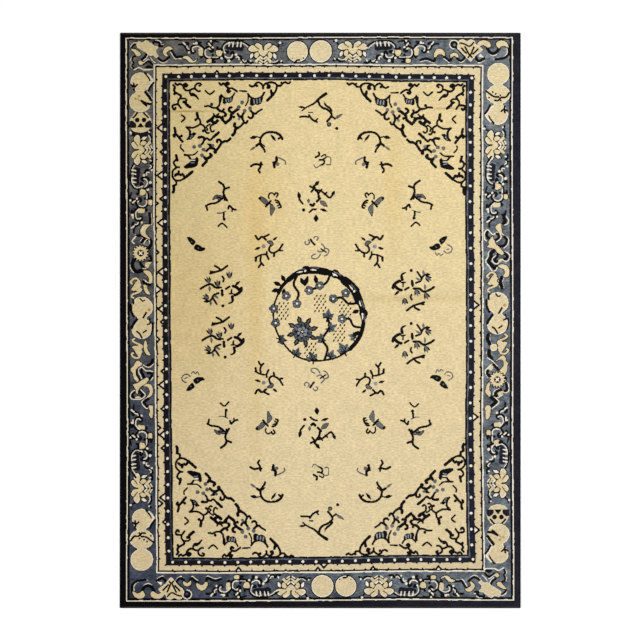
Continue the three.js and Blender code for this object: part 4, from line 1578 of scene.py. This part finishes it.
def chart_mesh(knots):
    """The cartoon as a flat mesh: places in knots, triangles, the yarn of each, and the rim."""
    rim = rim_loop()
    points = [tuple(p) for p in rim]
    edges = [(i, (i + 1) % len(rim)) for i in range(len(rim))]
    known = {}
    for line in chains(colour_edges(knots)):
        kept = [tuple(p) for p in thinned(line)]
        numbers = []
        for p in kept:
            if p not in known:
                known[p] = len(points)
                points.append(p)
            numbers.append(known[p])
        edges += list(zip(numbers[:-1], numbers[1:]))
    for x in np.arange(FILL_STEP / 2, COLUMNS, FILL_STEP):
        for y in np.arange(FILL_STEP / 2, ROWS, FILL_STEP):
            near = knots[int(y) - 3 : int(y) + 3, int(x) - 3 : int(x) + 3]
            if (near == near[0, 0]).all():
                points.append((x, y))
    places, faces, now_at = triangulate(points, edges)
    yarns = yarn_at(knots, places[faces].mean(axis=1))
    return places, faces, yarns, [now_at[i] for i in range(len(rim))]


def on_the_rug(places):
    """Metres across and along the carpet for places in knots, with the lean and the sway."""
    share = places / (COLUMNS, ROWS)
    y = (0.5 - share[:, 1]) * (RUG_LENGTH - 2 * END_WEB)
    x = (share[:, 0] - 0.5) * (RUG_WIDTH - 2 * SIDE_CORD)
    lean = LEFT_LEAN * np.clip(0.5 + y / RUG_LENGTH, 0, 1) * (1 - share[:, 0])
    inside = np.clip(16 * share * (1 - share), 0, 1).prod(axis=1)
    x_sway = np.sin(9.1 * y + 1.3) * np.cos(3.7 * x) + 0.6 * np.sin(23 * y + 5 * x)
    y_sway = np.sin(8.3 * x + 0.4) * np.cos(2.9 * y + 1) + 0.6 * np.sin(21 * x - 4 * y)
    return np.stack([x + lean + SWAY * inside * x_sway, y + SWAY * inside * y_sway], axis=1)


def unevenness(flat):
    """How far the pile lies below its full height, in metres: shearing and tread, 0 to 1 mm."""
    x, y = flat[:, 0], flat[:, 1]
    waves = np.sin(7 * x + 2 * y) + np.sin(11 * y - 3 * x + 1) + 0.7 * np.sin(31 * x + 1) * np.sin(27 * y)
    return 0.0005 + 0.00018 * waves


chart_places, chart_faces, chart_yarns, chart_rim = chart_mesh(cartoon.knots)


RIM_TURNS = 4  # facets of the worn rim
UNDERSIDE_STEP = 38  # knots between points where the pile's body meets the ground
HIDDEN_STRIP = 0.985  # share of the pile's map that its top takes; the rest is rim and underside


def rim_profile():
    """The pile's edge outwards and down from its level top: (out, z), in metres."""
    angles = np.linspace(0, math.pi / 2, RIM_TURNS + 1)[1:]
    rounded = [(WORN_EDGE * math.sin(a), RUG_TOP - WORN_EDGE * (1 - math.cos(a))) for a in angles]
    return rounded + [(WORN_EDGE, GROUND - 0.0006)]


def outward(loop):
    """Unit vectors out of a closed flat loop that runs clockwise as seen from above."""
    along = np.roll(loop, -1, axis=0) - np.roll(loop, 1, axis=0)
    out = np.stack([-along[:, 1], along[:, 0]], axis=1)
    return out / np.linalg.norm(out, axis=1)[:, None]


def plain_mesh(step):
    """The cartoon's rim and a grid of points step knots apart, as chart_mesh gives them."""
    rim = rim_loop()
    points = [tuple(p) for p in rim]
    for x in np.arange(step / 2, COLUMNS, step):
        points += [(x, y) for y in np.arange(step / 2, ROWS, step)]
    edges = [(i, (i + 1) % len(rim)) for i in range(len(rim))]
    places, faces, now_at = triangulate(points, edges)
    return places, faces, [now_at[i] for i in range(len(rim))]


def make_piece(name, points, faces, slots):
    mesh = bpy.data.meshes.new(name)
    mesh.from_pydata(points.tolist(), [], [list(f) for f in faces])
    mesh.polygons.foreach_set("material_index", np.array(slots, np.int32))
    mesh.polygons.foreach_set("use_smooth", np.ones(len(faces), bool))
    mesh.update()
    piece = bpy.data.objects.new(name, mesh)
    bpy.context.collection.objects.link(piece)
    return piece


def make_pile():
    """The parted top, rings of quads down the rim, and a plain underside hidden by the ground."""
    flat = on_the_rug(chart_places)
    rim = flat[chart_rim]
    out = outward(rim)
    flat[chart_rim] = rim - out * WORN_EDGE
    top = np.column_stack([flat, RUG_TOP - unevenness(flat)])
    points = [top]
    slots = [chart_yarns]
    faces = chart_faces[:, ::-1].tolist()
    ring = list(chart_rim)
    count = len(top)
    for away, z in rim_profile():
        lowered = z - unevenness(rim) * (z > GROUND)
        points.append(np.column_stack([rim - out * (WORN_EDGE - away), lowered]))
        lower = list(range(count, count + len(rim)))
        count += len(rim)
        for i in range(len(rim)):
            j = (i + 1) % len(rim)
            faces.append([ring[i], ring[j], lower[j], lower[i]])
        slots.append(np.full(len(rim), MIDNIGHT))
        ring = lower
    places, under, corners = plain_mesh(UNDERSIDE_STEP)
    hidden = on_the_rug(places)
    known = dict(zip(corners, ring))
    numbers = np.array([known.get(i, -1) for i in range(len(places))])
    fresh = np.nonzero(numbers < 0)[0]
    numbers[fresh] = count + np.arange(len(fresh))
    points.append(np.column_stack([hidden[fresh], np.full(len(fresh), points[-1][0, 2])]))
    faces += numbers[under].tolist()
    slots.append(np.full(len(under), MIDNIGHT))
    return make_piece("pile", np.vstack(points), faces, np.concatenate(slots))


def lay_out_map(piece, top_faces):
    """The map named OFBake: its top straight down, all else in a narrow strip."""
    layer = piece.data.uv_layers.new(name="OFBake")
    mesh = piece.data
    corner_point = np.empty(len(mesh.loops), int)
    mesh.loops.foreach_get("vertex_index", corner_point)
    points = np.empty(len(mesh.vertices) * 3)
    mesh.vertices.foreach_get("co", points)
    spots = points.reshape(-1, 3)[corner_point]
    share = spots[:, :2] / (RUG_WIDTH, RUG_LENGTH) + 0.5
    on_top = np.arange(len(share)) < 3 * top_faces
    strip = HIDDEN_STRIP + (1 - HIDDEN_STRIP) * (0.2 + 0.6 * (share[:, 0] + spots[:, 2] / RUG_TOP) / 2)
    u = np.where(on_top, share[:, 0] * HIDDEN_STRIP, strip)
    layer.data.foreach_set("uv", np.column_stack([u, share[:, 1]]).ravel())


pile = make_pile()
lay_out_map(pile, len(chart_faces))


# Wool: hand-spun singles, dyed in small lots with indigo, tannin and plant yellows, or left
# undyed, and matt with age. Each knot's tuft ends in a soft cut tip, rows of knots that were
# beaten in together show as faint lines across, and each new lot of yarn as a broader band.

YARN_COLOURS = (
    # name, its shades at the far left, near left, far right and near right, where the change
    # from left to right starts and ends, and how mottled it is. The change from left to right is
    # painted light: darker on the left as painted shade, lighter on the right as painted sheen
    ("field", "#bdaa79", "#c0ad85", "#d7c393", "#d1bf97", -1.2, 0.02, 0.05),
    ("ivory", "#c3b79e", "#cdc3af", "#dfd8c6", "#dfd8c6", -1.3, 0.1, 0.05),
    ("cream", "#baa97d", "#bfad87", "#d3c29a", "#cab994", -1.3, -0.1, 0.05),
    ("tan", "#987848", "#987848", "#ae8f5e", "#ae8f5e", -1.3, 0.9, 0.05),
    ("slate", "#504e4b", "#353a45", "#63696e", "#5f656b", -1.3, 0.9, 0.5),
    ("mist", "#6a6e74", "#6a6e74", "#8b8f93", "#8b8f93", -1.3, 0.9, 0.15),
    ("dove", "#4d4d4b", "#494b4d", "#696964", "#666664", -1.3, 0.9, 0.2),
    ("navy", "#151217", "#161318", "#22222b", "#20202b", -1.1, 1.35, 0.25),
    ("midnight", "#060506", "#060507", "#23232b", "#202029", -1.3, 1.3, 0.25),
    ("ink", "#090708", "#080708", "#171415", "#151315", -1.3, 1.2, 0.1),
)
FAR, NEAR = 1.5, -1.4  # along the carpet, where its yarns have their far and near shades
STAINS = (
    # middle across and along, half width, half length, tint, how much of it at its middle
    (-0.44, 0.1, 0.1, 1.5, "#f8f0da", 0.6),  # a run of damp
    (-0.4, 0.75, 0.3, 0.6, "#fdf8ea", 0.8),  # and where it spread
    (-0.9, 1.43, 0.24, 0.012, "#d6cbaa", 1.0),  # an old fold at the left
    (0.86, 1.45, 0.18, 0.012, "#e2dac2", 1.0),  # and at the right
    (0.62, 0.15, 0.75, 0.05, "#f3f0e8", 1.0),  # a worn line beside the roundel
    (0.5, 0.9, 0.12, 0.7, "#faf6e8", 0.8),  # a thin place in the pile
    (-0.85, 0.1, 0.5, 0.8, "#fbf7ee", 1.0),  # a trodden patch
)
LOT_BAND = 0.045  # metres along the warps for one lot of yarn
ROW_LINE = 0.0095  # rows that were beaten in together; three knots, because one is too fine to show
STREAK = 0.022  # metres across for which such rows keep their tone
MOTTLE = 0.08  # size of the worn and faded patches
DYED = 0.032, 0.022  # metres across and along, for which yarn took its dye alike
WEAK_DYE = (0.75, 0.5, 0.25)  # how much paler weakly dyed yarn is in red, green and blue


def yarn_material(name):
    """A new material, with its tree, its shader and the places on the carpet that it reads."""
    material = bpy.data.materials.new(name)
    material.use_nodes = True
    tree = material.node_tree
    place = node(tree, "ShaderNodeTexCoord").outputs["Object"]
    return material, tree, tree.nodes["Principled BSDF"], place


def stretched(tree, place, across, along):
    """Object coordinates for marks that are about across by along metres."""
    return node(tree, "ShaderNodeMapping", (("Vector", place), ("Scale", (1 / across, 1 / along, 1))))


def smooth_ramp(tree, place, axis, start, end):
    """0 to 1 from start to end along an axis of the carpet."""
    along = node(tree, "ShaderNodeSeparateXYZ", (("Vector", place),)).outputs[axis]
    return node(
        tree, "ShaderNodeMapRange",
        (("Value", along), ("From Min", start), ("From Max", end)),
        interpolation_type="SMOOTHSTEP",
    ).outputs["Result"]


def stained(tree, place, colour):
    """The colour with the carpet's stains on it: each is an oval with a soft edge."""
    for x, y, half_width, half_length, tint, strength in STAINS:
        oval = node(
            tree, "ShaderNodeMapping",
            (
                ("Vector", place),
                ("Location", (-x / half_width, -y / half_length, 0)),
                ("Scale", (1 / half_width, 1 / half_length, 0)),
            ),
        )
        away = node(tree, "ShaderNodeVectorMath", ((0, oval.outputs[0]),), operation="LENGTH")
        share = node(
            tree, "ShaderNodeMapRange",
            (("Value", away.outputs["Value"]), ("From Min", 0.1), ("To Min", strength), ("To Max", 0.0)),
            interpolation_type="SMOOTHSTEP",
        )
        colour = node(
            tree, "ShaderNodeMix",
            (("Factor", share.outputs["Result"]), ("A", colour), ("B", linear(tint))),
            data_type="RGBA", blend_type="MULTIPLY",
        ).outputs["Result"]
    return colour


def wool(name, far_left, near_left, far_right, near_right, start, end, mottled):
    material, tree, shader, place = yarn_material(name)
    lots = node(
        tree, "ShaderNodeTexNoise",
        (("Vector", stretched(tree, place, 0.9, LOT_BAND).outputs[0]), ("Scale", 1.0), ("Detail", 3.0)),
    )
    rows = node(
        tree, "ShaderNodeTexNoise",
        (("Vector", stretched(tree, place, STREAK, ROW_LINE).outputs[0]), ("Scale", 1.0), ("Detail", 2.0)),
    )
    worn = node(tree, "ShaderNodeTexNoise", (("Vector", place), ("Scale", 1 / MOTTLE), ("Detail", 5.0)))
    dyed = node(
        tree, "ShaderNodeTexNoise",
        (("Vector", stretched(tree, place, *DYED).outputs[0]), ("Scale", 1.0), ("Detail", 3.0)),
    )
    took = node(
        tree, "ShaderNodeMapRange", (("Value", dyed.outputs["Fac"]), ("From Min", 0.32), ("From Max", 0.68))
    )
    weak = (*(1 + mottled * paler for paler in WEAK_DYE), 1)
    strong = (*(1 - mottled * paler for paler in WEAK_DYE), 1)
    tint = node(
        tree, "ShaderNodeMix",
        (("Factor", took.outputs["Result"]), ("A", weak), ("B", strong)),
        data_type="RGBA",
    )
    tufts = node(
        tree, "ShaderNodeTexVoronoi",
        (("Vector", place), ("Scale", 1 / KNOT), ("Randomness", 0.7)),
    )
    # painted light: the share of the lighter right-hand shades, darker on the left as painted shade and
    # lighter on the right as painted sheen, with a little of the lots' bands mixed in
    shade = node(
        tree, "ShaderNodeMix",
        (("Factor", 0.08), ("A", smooth_ramp(tree, place, "X", start, end)), ("B", lots.outputs["Fac"])),
    )
    nearness = smooth_ramp(tree, place, "Y", FAR, NEAR)
    sides = [
        node(
            tree, "ShaderNodeMix",
            (("Factor", nearness), ("A", linear(far)), ("B", linear(near))),
            data_type="RGBA",
        ).outputs["Result"]
        for far, near in ((far_left, near_left), (far_right, near_right))
    ]
    # the yarn's colour with the painted light in it: painted shade on the left, painted sheen on the right
    painted_light_colour = node(
        tree, "ShaderNodeMix",
        (("Factor", shade.outputs["Result"]), ("A", sides[0]), ("B", sides[1])),
        data_type="RGBA",
    )
    marked = stained(tree, place, painted_light_colour.outputs["Result"])
    colour = node(
        tree, "ShaderNodeMix",
        (("Factor", 1.0), ("A", marked), ("B", tint.outputs["Result"])),
        data_type="RGBA", blend_type="MULTIPLY",
    )
    streaks = node(
        tree, "ShaderNodeMapRange",
        (
            ("Value", rows.outputs["Fac"]),
            ("From Min", 0.3),
            ("From Max", 0.7),
            ("To Min", 0.86 - mottled / 2),
            ("To Max", 1.14 + mottled / 2),
        ),
    )
    patches = node(
        tree, "ShaderNodeMapRange",
        (
            ("Value", worn.outputs["Fac"]),
            ("From Min", 0.3),
            ("From Max", 0.7),
            ("To Min", 1 - mottled),
            ("To Max", 1 + mottled),
        ),
    )
    tips = node(
        tree, "ShaderNodeMapRange",
        (("Value", tufts.outputs["Color"]), ("To Min", 0.9), ("To Max", 1.1)),
    )
    light = node(
        tree, "ShaderNodeMath", ((0, streaks.outputs[0]), (1, patches.outputs[0])), operation="MULTIPLY"
    )
    value = node(tree, "ShaderNodeMath", ((0, light.outputs[0]), (1, tips.outputs[0])), operation="MULTIPLY")
    toned = node(
        tree, "ShaderNodeHueSaturation", (("Value", value.outputs[0]), ("Color", colour.outputs["Result"]))
    )
    tree.links.new(toned.outputs["Color"], shader.inputs["Base Color"])
    height = node(
        tree, "ShaderNodeMath",
        ((0, tufts.outputs["Distance"]), (1, rows.outputs["Fac"])),
        operation="SUBTRACT",
    )
    bump = node(
        tree, "ShaderNodeBump",
        (("Height", height.outputs[0]), ("Strength", 0.5), ("Distance", 0.0012)),
        invert=True,
    )
    tree.links.new(bump.outputs["Normal"], shader.inputs["Normal"])
    shader.inputs["Roughness"].default_value = 0.95
    shader.inputs["Specular IOR Level"].default_value = 0.04
    return material


for name, *shades in YARN_COLOURS:
    pile.data.materials.append(wool(f"{name} wool pile", *shades))
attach(pile, "root")
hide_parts("rug")


# The ground: cotton warps and wefts under the pile, a closed slab. Every knot's back shows on
# its lower face, so the design can be read there too, with a line of weft after each row.

COTTON = len(YARNS)
COTTON_DARK = "#a99a79"
COTTON_LIGHT = "#c9bb9a"
TUCK = 0.0012  # how far the ground runs in under the cords and webs


def make_ground():
    below = on_the_rug(chart_places)
    rim = below[chart_rim] + outward(below[chart_rim]) * TUCK
    below[chart_rim] = rim
    places, cover, corners = plain_mesh(UNDERSIDE_STEP)
    above = on_the_rug(places)
    above[corners] = rim
    lower = np.column_stack([below, np.zeros(len(below))])
    upper = np.column_stack([above, np.full(len(above), GROUND)])
    faces = chart_faces.tolist() + (cover[:, ::-1] + len(lower)).tolist()
    for i in range(len(rim)):
        j = (i + 1) % len(rim)
        faces.append([len(lower) + corners[i], len(lower) + corners[j], chart_rim[j], chart_rim[i]])
    slots = np.concatenate([chart_yarns, np.full(len(cover) + len(rim), COTTON)])
    return make_piece("ground", np.vstack([lower, upper]), faces, slots)


def ridges(tree, place, pitch, direction):
    """Even ridges, pitch metres from one to the next, lowest at the middle of the carpet."""
    return node(
        tree, "ShaderNodeTexWave",
        (("Vector", place), ("Scale", math.tau / 20 / pitch), ("Distortion", 0.4), ("Detail Scale", 30.0)),
        bands_direction=direction,
    )


def knot_backs(name, dark, light):
    """Twisted yarn over pairs of warps, with the cotton weft between its rows."""
    material, tree, shader, place = yarn_material(name)
    rows = ridges(tree, place, KNOT, "Y")
    warps = ridges(tree, place, KNOT / 2, "X")
    lots = node(
        tree, "ShaderNodeTexNoise",
        (("Vector", stretched(tree, place, 0.3, LOT_BAND).outputs[0]), ("Scale", 1.0), ("Detail", 3.0)),
    )
    yarn = node(
        tree, "ShaderNodeMix",
        (("Factor", lots.outputs["Fac"]), ("A", linear(dark)), ("B", linear(light))),
        data_type="RGBA",
    )
    bare = node(
        tree, "ShaderNodeMapRange",
        (("Value", rows.outputs["Fac"]), ("From Min", 0.12), ("From Max", 0.3)),
    )
    colour = node(
        tree, "ShaderNodeMix",
        (("Factor", bare.outputs["Result"]), ("A", linear(COTTON_DARK)), ("B", yarn.outputs["Result"])),
        data_type="RGBA",
    )
    tree.links.new(colour.outputs["Result"], shader.inputs["Base Color"])
    height = node(
        tree, "ShaderNodeMath", ((0, rows.outputs["Fac"]), (1, warps.outputs["Fac"])), operation="MULTIPLY"
    )
    bump = node(
        tree, "ShaderNodeBump",
        (("Height", height.outputs[0]), ("Strength", 0.7), ("Distance", 0.0008)),
    )
    tree.links.new(bump.outputs["Normal"], shader.inputs["Normal"])
    shader.inputs["Roughness"].default_value = 0.9
    return material


ground = make_ground()
lay_out_map(ground, len(chart_faces))
for name, dark, _, light, *_ in YARN_COLOURS:
    ground.data.materials.append(knot_backs(f"{name} knot backs", dark, light))
ground.data.materials.append(knot_backs("cotton warp and weft", COTTON_DARK, COTTON_LIGHT))
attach(ground, "root")
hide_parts("rug")


# The side cords: the outermost warps, overcast from end to end with blue-black wool. One turn
# of the wool is shaped and repeated; the left cord leans with its side of the pile.

CORD_RADIUS = SIDE_CORD / 2
CORD_FACETS = 10
TURN_PITCH = 0.0041
BETWEEN_TURNS = 0.88  # share of the cord's radius left in the groove between two turns
TURNS = int((RUG_LENGTH - 0.002) / TURN_PITCH)
CORD_DARK = "#070709"
CORD_LIGHT = "#15151c"


def overcast_cord(name, x):
    bpy.ops.object.select_all(action="DESELECT")
    bpy.ops.mesh.primitive_circle_add(
        vertices=CORD_FACETS,
        radius=CORD_RADIUS * BETWEEN_TURNS,
        rotation=(math.pi / 2, 0, 0),
        location=(x, -TURNS * TURN_PITCH / 2, CORD_RADIUS),
    )
    cord = bpy.context.object
    cord.name = name
    bpy.ops.object.transform_apply(location=True, rotation=True, scale=True)
    bpy.ops.object.mode_set(mode="EDIT")
    bpy.ops.mesh.select_all(action="SELECT")
    for spread in (1 / BETWEEN_TURNS, BETWEEN_TURNS):
        bpy.ops.mesh.extrude_region_move(TRANSFORM_OT_translate={"value": (0, TURN_PITCH / 2, 0)})
        bpy.ops.transform.resize(value=(spread, 1, spread), center_override=(x, 0, CORD_RADIUS))
    bpy.ops.object.mode_set(mode="OBJECT")
    turns = cord.modifiers.new("turns", "ARRAY")
    turns.count = TURNS
    turns.use_relative_offset = False
    turns.use_constant_offset = True
    turns.constant_offset_displace = (0, TURN_PITCH, 0)
    turns.use_merge_vertices = True
    turns.merge_threshold = TURN_PITCH / 100
    bpy.ops.object.modifier_apply(modifier="turns")
    bpy.ops.object.mode_set(mode="EDIT")
    bpy.ops.mesh.select_all(action="SELECT")
    bpy.ops.mesh.fill_holes(sides=CORD_FACETS)
    bpy.ops.mesh.normals_make_consistent(inside=False)
    bpy.ops.mesh.faces_shade_smooth()
    bpy.ops.object.mode_set(mode="OBJECT")
    return cord


def spun_wool(name, dark, light, twist):
    """Plied yarn: fine slanting ridges over a colour that varies a little from place to place."""
    material, tree, shader, place = yarn_material(name)
    patches = node(tree, "ShaderNodeTexNoise", (("Vector", place), ("Scale", 40.0), ("Detail", 3.0)))
    colour = node(
        tree, "ShaderNodeMix",
        (("Factor", patches.outputs["Fac"]), ("A", linear(dark)), ("B", linear(light))),
        data_type="RGBA",
    )
    tree.links.new(colour.outputs["Result"], shader.inputs["Base Color"])
    plies = ridges(tree, place, twist, "DIAGONAL")
    bump = node(
        tree, "ShaderNodeBump",
        (("Height", plies.outputs["Fac"]), ("Strength", 0.5), ("Distance", 0.0004)),
    )
    tree.links.new(bump.outputs["Normal"], shader.inputs["Normal"])
    shader.inputs["Roughness"].default_value = 0.95
    shader.inputs["Specular IOR Level"].default_value = 0.04
    return material


left_cord = overcast_cord("left_cord", CORD_RADIUS - RUG_WIDTH / 2)
for vertex in left_cord.data.vertices:
    vertex.co.x += LEFT_LEAN * (0.5 + vertex.co.y / RUG_LENGTH)
right_cord = overcast_cord("right_cord", RUG_WIDTH / 2 - CORD_RADIUS)
overcasting = spun_wool("blue-black wool overcasting", CORD_DARK, CORD_LIGHT, 0.0014)
for cord in (left_cord, right_cord):
    cord.data.materials.append(overcasting)
    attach(cord, "root")
    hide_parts("rug")


# The end webs: a finger's breadth of plain weave beyond the first and last row of knots, its
# blue-black wool weft beaten up over the cotton warps, with no fringe left.

WEB_THICKNESS = 0.0021
WEB_LOW = 0.0004  # the web clears the floor by this much
WEFT_ROWS = 6
WEB_RIPPLE = 0.00025  # how far the weft rises over one warp and dips under the next
WEB_DARK = "#0a0a0d"
WEB_LIGHT = "#1d1d24"


def plain_weave(name, y):
    bpy.ops.object.select_all(action="DESELECT")
    start = -(COLUMNS - 1) * KNOT / 2
    bpy.ops.mesh.primitive_grid_add(
        x_subdivisions=2, y_subdivisions=WEFT_ROWS, size=1, location=(start, y, 0),
    )
    web = bpy.context.object
    web.name = name
    web.scale = (KNOT, END_WEB - 0.0006, 1)
    bpy.ops.object.transform_apply(location=True, rotation=True, scale=True)
    for number, vertex in enumerate(web.data.vertices):
        over = (number % 3 + number // 3) % 2
        vertex.co.z = WEB_LOW + WEB_THICKNESS + WEB_RIPPLE * (1 if over else -1)
    warps = web.modifiers.new("warps", "ARRAY")
    warps.count = COLUMNS
    warps.use_relative_offset = False
    warps.use_constant_offset = True
    warps.constant_offset_displace = (KNOT, 0, 0)
    warps.use_merge_vertices = True
    warps.merge_threshold = KNOT / 100
    body = web.modifiers.new("body", "SOLIDIFY")
    body.thickness = WEB_THICKNESS - WEB_RIPPLE
    body.offset = -1
    bpy.ops.object.modifier_apply(modifier="warps")
    bpy.ops.object.modifier_apply(modifier="body")
    bpy.ops.object.shade_smooth()
    return web


far_web = plain_weave("far_web", (RUG_LENGTH - END_WEB) / 2)
near_web = plain_weave("near_web", (END_WEB - RUG_LENGTH) / 2)
weft_wool = spun_wool("blue-black wool weft", WEB_DARK, WEB_LIGHT, 0.0012)
for web in (far_web, near_web):
    web.data.materials.append(weft_wool)
    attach(web, "root")
    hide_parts("rug")
